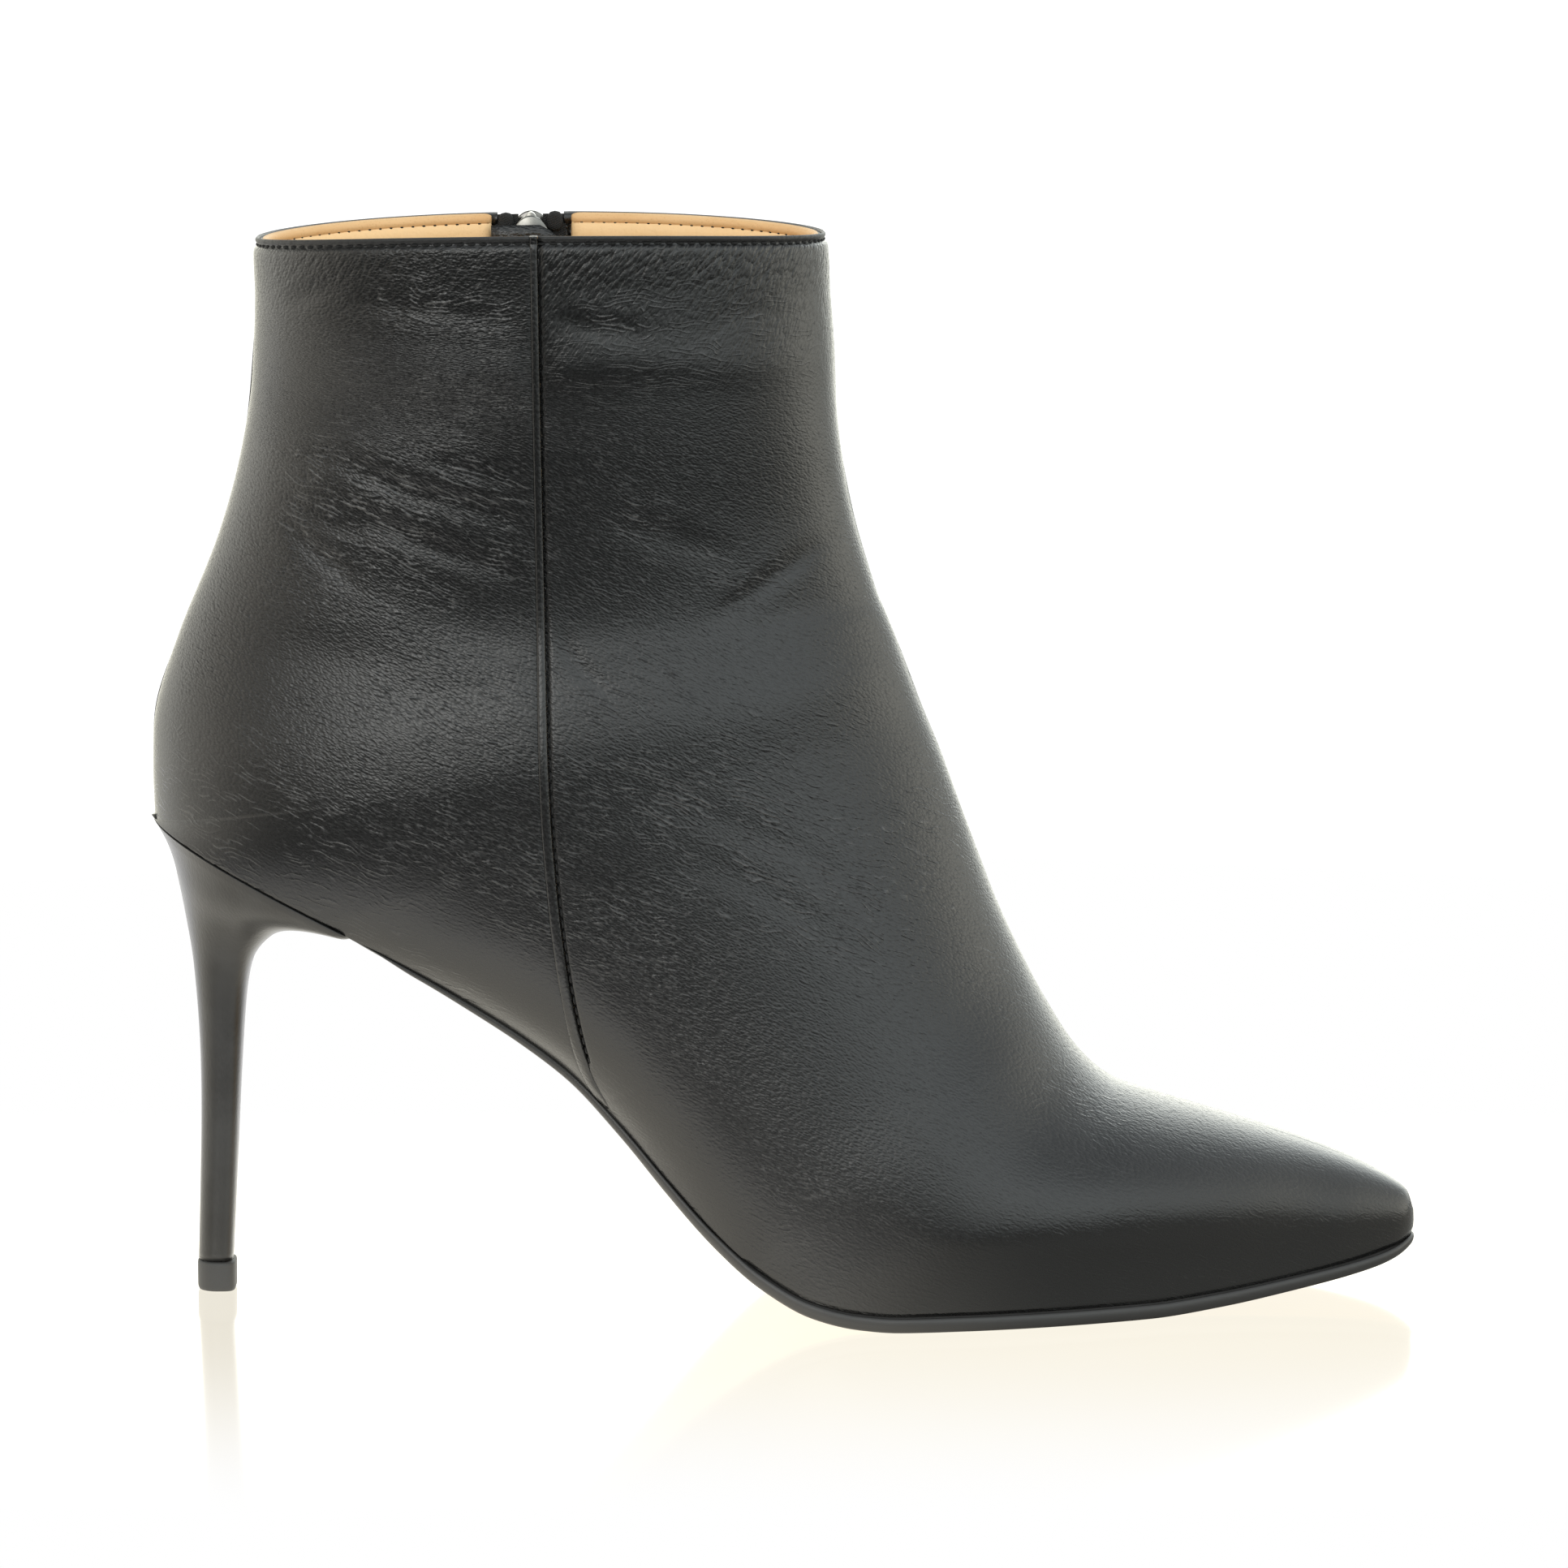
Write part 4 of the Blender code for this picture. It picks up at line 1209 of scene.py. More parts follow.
UPPER_LEATHER = SatinLeather("boot_black_leather", grey(0.004), 0.27)
HEEL_LEATHER = SmoothLeather("boot_heel_leather", grey(0.007, 0.03), 0.36)
LINING = LiningLeather("boot_tan_lining", (0.75, 0.52, 0.275, 1.0), 0.6)
SOLE = SoleLeather("boot_sole_leather", grey(0.02, 0.04), 0.42)
TIP_RUBBER = Rubber("boot_top_piece_rubber", grey(0.02), 0.62)
TAPE = Woven("boot_zip_tape", grey(0.008), 0.9)
THREAD = Woven("boot_black_thread", grey(0.003), 0.9, 0.3, 0.03)
TEETH = Rubber("boot_zip_teeth", grey(0.016), 0.38)
METAL = DarkMetal("boot_dark_metal", (0.2, 0.195, 0.18, 1.0), 0.22)


@dataclass
class Patch:
    """A stretch of the upper between two lines: its points and where each lies on the leather."""

    t: Array
    points: Array
    from_start: Array
    from_end: Array


def spread(length: Array, count: int, start: Sequence[float], end: Sequence[float]) -> Array:
    """Places along lines of given lengths, closer together at the ends.

    Args:
        length: Length of each line.
        count: Number of even steps between the two ends' places.
        start: Distances from the start that get a place of their own, rising from 0.
        end: Distances from the end, falling to 0.

    Returns:
        Distances from the start, a row for each line.
    """
    length = np.asarray(length, float)[:, None]
    reach = max(start[-1] + end[0], TINY)
    squeeze = np.minimum(1.0, length / (3.0 * reach))
    first = np.asarray(start)[None, :] * squeeze
    last = length - np.asarray(end)[None, :] * squeeze
    part = np.linspace(0.0, 1.0, count + 1)[None, 1:-1]
    middle = first[:, -1:] + part * (last[:, :1] - first[:, -1:])
    return np.concatenate((first, middle, last), axis=1)


def patch(
    t: Array,
    side: Side,
    q_from: Array,
    q_to: Array,
    count: int,
    start: Sequence[float],
    end: Sequence[float],
) -> Patch:
    """Grid on the outer face with even columns between two lines.

    Args:
        t: Running row numbers.
        side: Side of the boot.
        q_from: Where each row starts.
        q_to: Where each row ends.
        count: Number of even steps.
        start: Extra places near the start.
        end: Extra places near the end.

    Returns:
        The patch.
    """
    part = np.linspace(0.0, 1.0, 221)
    fine_q = q_from[:, None] + (q_to - q_from)[:, None] * part[None, :]
    fine = LAST.point(t[:, None], side, fine_q)
    run = run_length(fine, 1)
    places = spread(run[:, -1], count, start, end)
    q = np.stack([np.interp(row, line, q_line) for row, line, q_line in zip(places, run, fine_q)])
    return Patch(t, LAST.point(t[:, None], side, q), places, run[:, -1:] - places)


def point_normals(points: Array, faces: Array) -> Array:
    """Outward direction at each point of a quad mesh.

    Args:
        points: Points of the mesh.
        faces: Four point numbers for each face.

    Returns:
        A unit vector for each point.
    """
    corners = points[faces]
    face_normals = np.cross(corners[:, 2] - corners[:, 0], corners[:, 3] - corners[:, 1])
    normals = np.zeros_like(points)
    for corner in range(4):
        np.add.at(normals, faces[:, corner], face_normals)
    return unit(normals)


def smooth_path(places: Sequence[tuple[float, float]], steps: int = 5) -> Array:
    """Points on a smooth line through places.

    Args:
        places: Places (x, z) on the line.
        steps: Points between two places.

    Returns:
        The points, the last place included.
    """
    known = np.asarray(places, float)
    tangents = np.gradient(known, axis=0)
    part = np.linspace(0.0, 1.0, steps, endpoint=False)[:, None]
    runs = [
        hermite(known[i], known[i + 1], tangents[i], tangents[i + 1], part) for i in range(len(known) - 1)
    ]
    return np.concatenate(runs + [known[-1:]])


def line_distance(x: Array, z: Array, path: Array) -> tuple[Array, Array]:
    """Distance from places to a line, and the share of the line before the nearest place.

    Args:
        x: Places along the boot.
        z: Their heights.
        path: Points of the line.

    Returns:
        Distances and shares from 0 to 1.
    """
    best = np.full(x.shape, np.inf)
    share = np.zeros(x.shape)
    steps = np.diff(path, axis=0)
    lengths = np.linalg.norm(steps, axis=1)
    before = run_length(path)
    for start, step, length, run in zip(path, steps, lengths, before):
        part = np.clip(((x - start[0]) * step[0] + (z - start[1]) * step[1]) / length ** 2, 0.0, 1.0)
        away = np.hypot(x - start[0] - part * step[0], z - start[1] - part * step[1])
        nearer = away < best
        best = np.where(nearer, away, best)
        share = np.where(nearer, (run + part * length) / before[-1], share)
    return best, share


@dataclass
class UpperSkin:
    """Relief of the leather over the smooth last: edges, collar, creases and soft waves."""

    edge_width: float = 1.0
    sole_dip: float = 0.22
    turn_length: float = 7.0
    turn_depth: float = 1.6
    turn_drop: float = 0.5
    turn_rear: Span = (-83.0, -73.0)
    turn_front: Span = (-46.0, -8.0)
    seam_dip: float = 0.5
    strip_dip: float = 0.1
    zip_dip: float = 0.35
    rim_height: float = 0.85
    rim_rise: float = 0.06
    rim_round: float = 0.25
    groove_at: float = 1.3
    groove_depth: float = 0.4
    groove_width: float = 0.4
    puff: float = 0.34
    puff_fade: Span = (3.4, 11.0)
    zip_stitch_at: float = 2.0
    zip_stitch_depth: float = 0.22
    collar_calm: Span = (2.5, 9.0)
    edge_calm: Span = (0.6, 4.0)
    wave: float = 0.1
    crease_gain: float = 1.8

    def collar(self, below: Array) -> Array:
        """Folded rim, stitch groove and the puff under it, by distance below the rim.

        Args:
            below: Distance below the rim.

        Returns:
            Height over the smooth last.
        """
        rim = self.rim_rise * (1.0 - smooth_step(below, 0.7 * self.rim_height, self.rim_height + 0.3))
        rim = rim - self.rim_round * (1.0 - smooth_step(below, 0.0, 0.35))
        groove = -self.groove_depth * bell(below - self.groove_at, self.groove_width)
        puffed = smooth_step(below, self.groove_at, self.groove_at + 1.4)
        return rim + groove + self.puff * puffed * (1.0 - smooth_step(below, *self.puff_fade))

    def edge(self, distance: Array, dip: float | Array) -> Array:
        """Rounded edge of a panel, by distance from it."""
        return -dip * (1.0 - smooth_step(distance, 0.0, self.edge_width))

    def turn_under(self, distance: Array, x: Array) -> Array:
        """How far the lower edge turns under the foot at the waist, by distance from it."""
        waist = smooth_step(x, *self.turn_rear) * (1.0 - smooth_step(x, *self.turn_front))
        inside = np.clip(1.0 - distance / self.turn_length, 0.0, 1.0)
        return self.turn_depth * waist * (1.0 - np.sqrt(1.0 - inside ** 2))

    @staticmethod
    def grain(points: Array) -> Array:
        """How strongly the grain shows: less where the leather is stretched over the last's lower edge."""
        above = points[..., 2] - LAST.feather(np.minimum(points[..., 0], NOSE_START_X))
        return 0.3 + 0.7 * smooth_step(above, 8.0, 36.0)

    def zip_edge(self, distance: Array) -> Array:
        """Stitched line beside the zip."""
        return -self.zip_stitch_depth * bell(distance - self.zip_stitch_at, 0.45)

    def creases(self, points: Array, side: Side) -> Array:
        """Troughs and ridges listed for one side.

        Args:
            points: Points of the smooth last.
            side: Side of the boot.

        Returns:
            Height over the smooth last.
        """
        x, z = points[..., 0], points[..., 2]
        height = np.zeros(x.shape)
        for crease in CREASES[side]:
            away, share = line_distance(x, z, smooth_path(crease.places))
            ratio = (away / crease.width) ** 2
            taper = np.sin(np.pi * np.clip(share, 0.02, 0.98)) ** 0.6
            height -= self.crease_gain * crease.depth * taper * (1.0 - 0.55 * ratio) * np.exp(-ratio / 1.3)
        return height

    def waves(self, points: Array, side: Side) -> Array:
        """Slow unevenness of hand-lasted leather.

        Args:
            points: Points of the smooth last.
            side: Side of the boot.

        Returns:
            Height over the smooth last.
        """
        x, z = points[..., 0], points[..., 2]
        turn = 1.7 * side.value
        one = np.sin(x / 11.0 + z / 8.0 + turn) * np.sin(z / 13.0 - x / 23.0 + 2.0 * turn)
        two = np.sin(x / 6.1 - z / 7.3 + 3.0 * turn) * np.sin(x / 17.0 + z / 5.2)
        shaft = 0.35 + 0.65 * smooth_step(z, 60.0, 130.0)
        return self.wave * shaft * (one + 0.35 * two)

    def wrinkles(self, points: Array, side: Side) -> Array:
        """How strongly fine wrinkles show.

        Args:
            points: Points of the smooth last.
            side: Side of the boot.

        Returns:
            Strength at each point, at most 1.4.
        """
        x, z = points[..., 0], points[..., 2]
        strength = 0.25 + 0.35 * smooth_step(z, 50.0, 90.0) * (1.0 - 0.8 * smooth_step(z, 115.0, 150.0))
        for field in WRINKLE_FIELDS[side]:
            reach = ((x - field.x) / field.reach_x) ** 2 + ((z - field.z) / field.reach_z) ** 2
            strength = strength + field.strength * np.exp(-reach)
        for crease in CREASES[side]:
            if crease.depth > 0.0:
                away, share = line_distance(x, z, smooth_path(crease.places))
                strength = strength + 0.7 * bell(away, 1.5 * crease.width) * np.sin(np.pi * share) ** 0.5
        return np.clip(strength, 0.0, 1.4)

    @staticmethod
    def fold_space(points: Array) -> Array:
        """Coordinates along, through and across the wrinkles, which slope to the toe below the collar."""
        x, y, z = points[..., 0], points[..., 1], points[..., 2]
        slope = 0.38 * (1.0 - smooth_step(z, 158.0, 184.0))
        return np.stack((x, y, z + slope * x), axis=-1)


@dataclass
class Upper:
    """The lasted upper: a front and a back leather panel, the seam strip, the lining and the stitches."""

    step: float = 1.2
    leather: float = 1.0
    lining_depth: float = 1.1
    lining_wall: float = 0.65
    strip_half_top: float = 0.72
    strip_half_low: float = 1.0
    strip_height: float = 0.4
    strip_overlap: float = 0.3
    strip_row: float = 17.6
    panel_gap: float = 0.03
    slot_half: float = 6.2
    slot_round_t: Span = (9.35, 9.66)
    lining_step: float = 2.0
    lining_slot: Span = (8.2, -7.9)
    lining_stop: float = 0.008
    lining_tuck: float = 1.3
    tuck_height: float = 4.0
    lining_puff: float = 0.6
    lining_seam: float = 1.3
    stitch_pitch: float = 2.1
    stitch: Span = (1.75, 0.24)
    lining_stitch: Span = (1.0, 0.26)
    collar_lift: float = -0.28
    seam_lift: float = -0.24
    zip_lift: float = -0.14
    lining_lift: float = 0.05
    back_start: float = 200.0
    edges: tuple[float, ...] = (4.6, 3.6, 2.7, 1.9, 1.3, 0.85, 0.5, 0.22, 0.07, 0.0)

    def __post_init__(self) -> None:
        """Work out where the seam and the zip line meet the sole."""
        self.skin = UpperSkin()
        self.seam_end = LAST.line_end(Side.LATERAL, 0.0) - 0.02
        self.zip_line_end = LAST.line_end(Side.MEDIAL, 0.0) - 0.02
    def rows(self, step: float) -> Array:
        """Running row numbers about a step apart, closer together at the collar and the tip.

        Args:
            step: Greatest distance between rows.

        Returns:
            The row numbers, rising from 0.
        """
        collar_mm = np.array([0.0, 0.3, 0.6, 0.9, 1.15, 1.4, 1.65, 1.9, 2.2, 2.6, 3.1, 3.7, 4.4, 5.2])
        collar = collar_mm / (SECTIONS[0].front_z - SECTIONS[1].front_z)
        rows = [collar]
        q = np.linspace(0.0, 1.0, 9)
        for index in range(LAST_ROW):
            first = collar[-1] if index == 0 else 0.0
            spans = [LAST.point(index + 1.0, side, q) - LAST.point(index + first, side, q) for side in Side]
            count = max(2, math.ceil(np.linalg.norm(spans, axis=-1).max() / step))
            part = np.linspace(0.0, 1.0, count + 1)[1:]
            if index == NOSE_ROW:
                part = 1.0 - (1.0 - np.linspace(0.0, 1.0, 3 * count + 1)[1:]) ** 2
            rows.append(index + first + (1.0 - first) * part)
        return np.concatenate(rows)

    def strip_half(self, t: Array) -> Array:
        """Half width of the seam strip, wider towards the sole."""
        share = smooth_step(np.asarray(t, float), 0.0, self.seam_end)
        return self.strip_half_top + (self.strip_half_low - self.strip_half_top) * share

    def slot(self, t: Array) -> Array:
        """Half width of the zip slot, rounded off at its lower end."""
        low, high = self.slot_round_t
        part = np.clip((np.asarray(t, float) - low) / (high - low), 0.0, 1.0)
        return np.maximum(self.slot_half * np.sqrt(1.0 - part ** 2), self.panel_gap)

    def edge_q(self, t: Array, side: Side, towards_toe: int) -> Array:
        """Where a panel ends at the seam or the zip.

        Args:
            t: Running row numbers.
            side: Side of the boot.
            towards_toe: 1 for the front panel, -1 for the back panel.

        Returns:
            Places q, 1 where the line has met the sole.
        """
        overlap = self.panel_gap if towards_toe > 0 else -self.strip_overlap
        half = self.strip_half(t) + overlap if side is Side.LATERAL else self.slot(t)
        end = self.seam_end if side is Side.LATERAL else self.zip_line_end
        return np.where(t < end, LAST.line_q(t, side, towards_toe * half), 1.0)

    def panel(self, name: str, patches: dict[Side, Patch], index: dict[Side, Array]) -> Piece:
        """Leather panel from one patch on each side.

        Args:
            name: Name of the piece.
            patches: The smooth patch of each side.
            index: Point numbers of each side's patch in the joined panel.

        Returns:
            The piece, with its thickness.
        """
        is_back = name.endswith("back")
        total = 1 + max(int(numbers.max()) for numbers in index.values())
        points = np.zeros((total, 3))
        height, wrinkle, under = np.zeros(total), np.zeros(total), np.zeros(total)
        fold_space, skin = np.zeros((total, 3)), np.zeros((total, 3))
        for side, part in patches.items():
            numbers = index[side]
            below = run_length(part.points)
            seam, sole = self.edge_distances(part, side, is_back)
            edge = np.minimum(seam, sole)
            dip = self.skin.zip_dip
            if side is Side.LATERAL:
                dip = self.skin.strip_dip if is_back else self.skin.seam_dip
            relief = self.skin.collar(below) + self.skin.edge(seam, dip)
            under[numbers] = self.skin.turn_under(sole, part.points[..., 0])
            relief = relief + self.skin.edge(sole, self.skin.sole_dip) * (under[numbers] <= 0.0)
            folds = self.skin.creases(part.points, side) + self.skin.waves(part.points, side)
            calm = smooth_step(below, *self.skin.collar_calm) * smooth_step(edge, *self.skin.edge_calm)
            relief = relief + folds * calm
            if side is Side.MEDIAL:
                relief = relief + self.skin.zip_edge(seam) * smooth_step(below, 1.0, 2.5)
            points[numbers] = part.points
            height[numbers] = relief
            wrinkle[numbers] = self.skin.wrinkles(part.points, side)
            fold_space[numbers] = self.skin.fold_space(part.points)
            around = part.from_start * side.value + (self.back_start if is_back else 0.0)
            skin[numbers] = np.stack((around, below, self.skin.grain(part.points)), axis=-1)
        faces = np.concatenate([grid_faces(index[side], side is Side.LATERAL) for side in Side])
        normals = point_normals(points, faces)
        points = points + normals * height[:, None]
        level = np.maximum(np.hypot(normals[:, 0], normals[:, 1]), TINY)
        points[:, 1] -= normals[:, 1] / level * under
        points[:, 2] -= self.skin.turn_drop * under
        mesh = to_mesh(name, points, faces.tolist())
        lay_leather(mesh, wrinkle, fold_space, skin)
        piece = place_piece(mesh, UPPER_LEATHER.material())
        thicken(piece, self.leather)
        return hand_over(piece, "upper_leather", "upper")

    def edge_distances(self, part: Patch, side: Side, is_back: bool) -> tuple[Array, Array]:
        """Distances of a panel's points from its seam or zip edge and from the sole.

        Args:
            part: The smooth patch.
            side: Side of the boot.
            is_back: Whether the patch belongs to the back panel.

        Returns:
            Distance from the seam or zip, and from the sole.
        """
        far = 100.0
        t = part.t[:, None]
        if is_back:
            index = int(np.sum(part.t <= HEEL_ROW + TINY)) - 1
            drop = np.linalg.norm(part.points[:, -1:] - part.points[index : index + 1, -1:], axis=2)
            above = np.where(t < HEEL_ROW, drop, 0.0)
            return part.from_start, np.hypot(part.from_end, above)
        end = self.seam_end if side is Side.LATERAL else self.zip_line_end
        seam = part.from_end + far * smooth_step(t, end - 0.5, end)
        sole = part.from_end + far * (1.0 - smooth_step(t, end - 0.5, end))
        return seam, sole

    @staticmethod
    def smooth_nose(part: Patch) -> None:
        """Ease the rows where the toe's rounded tip begins.

        Args:
            part: The patch, changed in place.
        """
        weight = bell(part.t - (NOSE_ROW - 1.0), 0.6)[1:-1, None, None]
        for _ in range(40):
            middle = (part.points[2:] + part.points[:-2]) / 2
            part.points[1:-1] += 0.5 * weight * (middle - part.points[1:-1])

    def build_front(self) -> Piece:
        """Front panel, from the side seam over the instep to the zip, down to the toe.

        Returns:
            The dressed piece.
        """
        t = self.rows(self.step)
        widest = 110.0
        count = round(widest / self.step)
        patches = {}
        for side in Side:
            end = self.edge_q(t, side, 1)
            patches[side] = patch(t, side, np.zeros(len(t)), end, count, (0.0,), self.edges)
            self.smooth_nose(patches[side])
        first = grid_numbers(patches[Side.LATERAL].points)
        second = first + first.size
        second[:, 0] = first[:, 0]
        second[-1] = first[-1]
        index = {Side.LATERAL: first, Side.MEDIAL: self.compact(first, second)}
        return self.panel("upper_leather_front", patches, index)

    def build_back(self) -> Piece:
        """Back panel, from the side seam round the heel to the zip.

        Returns:
            The dressed piece.
        """
        rows = self.rows(self.step)
        widest = 75.0
        count = round(widest / self.step)
        start = self.edges[::-1]
        shared = int(np.sum(rows <= HEEL_ROW + TINY))
        patches = {}
        for side, end in ((Side.LATERAL, self.seam_end), (Side.MEDIAL, self.zip_line_end)):
            t = rows[rows < end - 0.02]
            begin = self.edge_q(t, side, -1)
            patches[side] = patch(t, side, begin, np.ones(len(t)), count, start, self.edges)
        first = grid_numbers(patches[Side.LATERAL].points)
        second = grid_numbers(patches[Side.MEDIAL].points, first.size)
        second[:shared, -1] = first[:shared, -1]
        index = {Side.LATERAL: first, Side.MEDIAL: self.compact(first, second)}
        return self.panel("upper_leather_back", patches, index)

    @staticmethod
    def compact(first: Array, second: Array) -> Array:
        """Renumber a second grid so that its own points follow on the first's.

        Args:
            first: Point numbers of the first grid.
            second: Numbers of the second grid, some shared with the first.

        Returns:
            The second grid's new numbers.
        """
        own = np.unique(second[second >= first.size])
        renumbered = second.copy()
        fresh = second >= first.size
        renumbered[fresh] = first.size + np.searchsorted(own, second[fresh])
        return renumbered

    def build_strip(self) -> Piece:
        """Raised strip over the side seam.

        Returns:
            The dressed piece.
        """
        t = self.rows(1.0)
        t = t[t < self.seam_end + 0.1]
        across = np.array([-0.9, -1.0, -0.9, -0.7, -0.4, 0.0, 0.4, 0.72, 0.92, 1.0, 0.97])
        rise = np.array([-2.2, -0.2, 0.45, 0.8, 0.95, 1.0, 0.96, 0.75, 0.3, -0.3, -2.2]) * self.strip_height
        offsets = self.strip_half(t)[:, None] * across[None, :]
        q = np.minimum(LAST.line_q(np.broadcast_to(t[:, None], offsets.shape), Side.LATERAL, offsets), 0.999)
        points = LAST.point(t[:, None], Side.LATERAL, q)
        normals = LAST.normal(np.broadcast_to(t[:, None], q.shape), Side.LATERAL, q)
        fade = 1.0 - smooth_step(t, self.seam_end - 0.25, self.seam_end + 0.1)[:, None]
        top = 1.0 - 0.8 * bell(t * self.strip_row - self.skin.groove_at, 0.5)[:, None]
        lift = np.where(rise > 0.0, rise[None, :] * fade * top, rise[None, :])
        mesh = loft("seam_strip", points + normals * lift[..., None])
        lay_leather(mesh, 0.25, place_points(mesh)[:, [2, 0, 1]], (0.0, FAR_BELOW, 0.7))
        return hand_over(place_piece(mesh, UPPER_LEATHER.material()), "upper_leather")

    def lining_relief(self, below: Array, end: Array, around: Array) -> Array:
        """How far the lining stands off the leather.

        Args:
            below: Distance below the lining's top edge.
            end: Distance from its edge beside the zip.
            around: Distance along the collar.

        Returns:
            Rolled edges, the sewn groove with its puckers, and soft folds under it.
        """
        top = np.sqrt(1.0 - (1.0 - np.clip(below / 0.7, 0.0, 1.0)) ** 2)
        side = np.sqrt(1.0 - (1.0 - np.clip(end / 1.5, 0.0, 1.0)) ** 2)
        swell = 1.0 + 0.5 * bell(below - 3.4, 1.6) * smooth_step(below, self.lining_seam, 2.6)
        groove = 0.75 * bell(below - self.lining_seam, 0.35)
        pucker = 0.14 * np.sin(2.0 * math.pi * around / self.stitch_pitch) * bell(below - 2.1, 0.7)
        ripple = np.sin(around / 1.7 + np.sin(around / 3.1) + below * 0.5)
        folds = 0.14 * ripple * smooth_step(below, 2.5, 5.0)
        settled = 1.0 - smooth_step(below, 14.0, 34.0)
        return self.lining_puff * top * side * (swell - groove + pucker + folds) * settled

    def build_lining(self) -> Piece:
        """Tan lining inside the whole upper, open along the zip.

        Returns:
            The dressed piece.
        """
        rows = self.rows(self.lining_step)
        t = rows[(rows >= 0.03) & (rows <= NOSE_ROW - 0.5)]
        zero = np.zeros(len(t))
        one = 1.0 - self.lining_stop * smooth_step(t, HEEL_ROW, HEEL_ROW + 0.4)
        front = np.minimum(LAST.line_q(t, Side.MEDIAL, self.lining_slot[0]), one)
        back = np.minimum(LAST.line_q(t, Side.MEDIAL, self.lining_slot[1]), one)
        curl = (1.5, 1.1, 0.7, 0.4, 0.2, 0.07, 0.0)
        whole = patch(t, Side.LATERAL, zero, one, 70, (0.0,), (1.0, 0.0))
        toe_side = patch(t, Side.MEDIAL, zero, front, 90, (0.0,), curl)
        behind_zip = patch(t, Side.MEDIAL, front, back, 6, (0.0,), (0.0,))
        heel_side = patch(t, Side.MEDIAL, back, one, 90, curl[::-1], (1.0, 0.0))
        lateral = whole.points
        parts = [toe_side.points, behind_zip.points[:, 1:], heel_side.points[:, 1:]]
        medial = np.concatenate(parts, axis=1)
        open_slot = [toe_side.from_end, np.zeros(parts[1].shape[:2]), heel_side.from_start[:, 1:]]
        from_slot = np.concatenate(open_slot, axis=1)
        around = np.concatenate((toe_side.from_start, 0.0 * open_slot[1], heel_side.from_end[:, 1:]), axis=1)
        shared = int(np.sum(t <= HEEL_ROW + TINY))
        first = grid_numbers(lateral)
        second = grid_numbers(medial, first.size)
        second[:, 0] = first[:, 0]
        second[:shared, -1] = first[:shared, -1]
        second = self.compact(first, second)
        points = np.zeros((1 + int(second.max()), 3))
        points[first], points[second] = lateral, medial
        slot_first, slot_last = parts[0].shape[1] - 1, parts[0].shape[1] + parts[1].shape[1] - 1
        open_rows = int(np.sum(t < self.slot_round_t[1]))
        blocks = (
            grid_faces(first, True),
            grid_faces(second[:, : slot_first + 1]),
            grid_faces(second[open_rows:, slot_first : slot_last + 1]),
            grid_faces(second[:, slot_last:]),
        )
        faces = np.concatenate(blocks)
        skin, puff = np.zeros((len(points), 3)), np.zeros(len(points))
        far = np.full(first.shape, FAR_BELOW)
        legs = ((first, lateral, far, whole.from_start), (second, medial, from_slot, around))
        for numbers, grid, end, run in legs:
            below = run_length(grid)
            skin[numbers, 1] = below
            puff[numbers] = self.lining_relief(below, end, run)
        normals = point_normals(points, faces)
        level = np.maximum(np.linalg.norm(normals[:, :2], axis=1, keepdims=True), TINY)
        above = points[:, 2] - LAST.feather(np.minimum(points[:, 0], NOSE_START_X))
        tuck = self.lining_tuck * (1.0 - smooth_step(above, 0.0, self.tuck_height))
        points = points - normals * (self.lining_depth + puff)[:, None]
        points[:, :2] -= normals[:, :2] / level * tuck[:, None]
        for edge, column in ((back, slot_last), (front, slot_first)):
            closed = second[edge >= one - TINY]
            points[closed[:, column + 1 :]] = points[closed[:, column]][:, None]
        corners = points[faces]
        across = np.cross(corners[:, 2] - corners[:, 0], corners[:, 3] - corners[:, 1])
        faces = faces[np.linalg.norm(across, axis=1) > TINY]
        mesh = to_mesh("upper_lining", points, faces.tolist())
        set_vectors(mesh, "skin", skin)
        piece = place_piece(mesh, LINING.material())
        thicken(piece, self.lining_wall)
        return hand_over(piece, "insole_sock")

    def stitch_line(self, path: Array, normals: Array, lift: float, size: tuple[float, float]) -> Array:
        """Frames of stitches along a path.

        Args:
            path: Points of the path.
            normals: Outward direction at each point.
            lift: Distance of the thread from the path's surface.
            size: Length and radius of a stitch.

        Returns:
            Frames scaled to the stitch's size, shaped (stitches, 4, 3).
        """
        run = run_length(path)
        places = np.arange(self.stitch_pitch / 2, run[-1], self.stitch_pitch)

        def at(lengths: Array, values: Array) -> Array:
            """Values at running lengths of the path."""
            return np.stack([np.interp(lengths, run, values[:, axis]) for axis in range(3)], axis=1)

        middle, up = at(places, path), at(places, normals)
        along = unit(at(places + 0.3, path) - at(places - 0.3, path))
        up = unit(up - along * np.sum(up * along, axis=1, keepdims=True))
        across = np.cross(up, along)
        return np.stack((middle + up * lift, along * size[0], across * size[1], up * size[1]), axis=1)

    @staticmethod
    def stitch_shape() -> tuple[Array, list[list[int]]]:
        """A stitch of unit length and radius whose ends dip into the leather.

        Returns:
            Its points and faces.
        """
        stations = np.array([-0.5, -0.44, -0.25, 0.0, 0.25, 0.44, 0.5])
        radii = np.array([0.3, 0.75, 1.0, 1.0, 1.0, 0.75, 0.3])
        sag = -1.6 * (2.0 * np.abs(stations)) ** 3
        angles = np.linspace(0.0, 2.0 * math.pi, 7)[:-1]
        rings = [
            np.stack((np.full(6, x), r * np.cos(angles), r * np.sin(angles) + s), axis=1)
            for x, r, s in zip(stations, radii, sag)
        ]
        return np.concatenate(rings), tube_faces(grid_numbers(np.array(rings)))

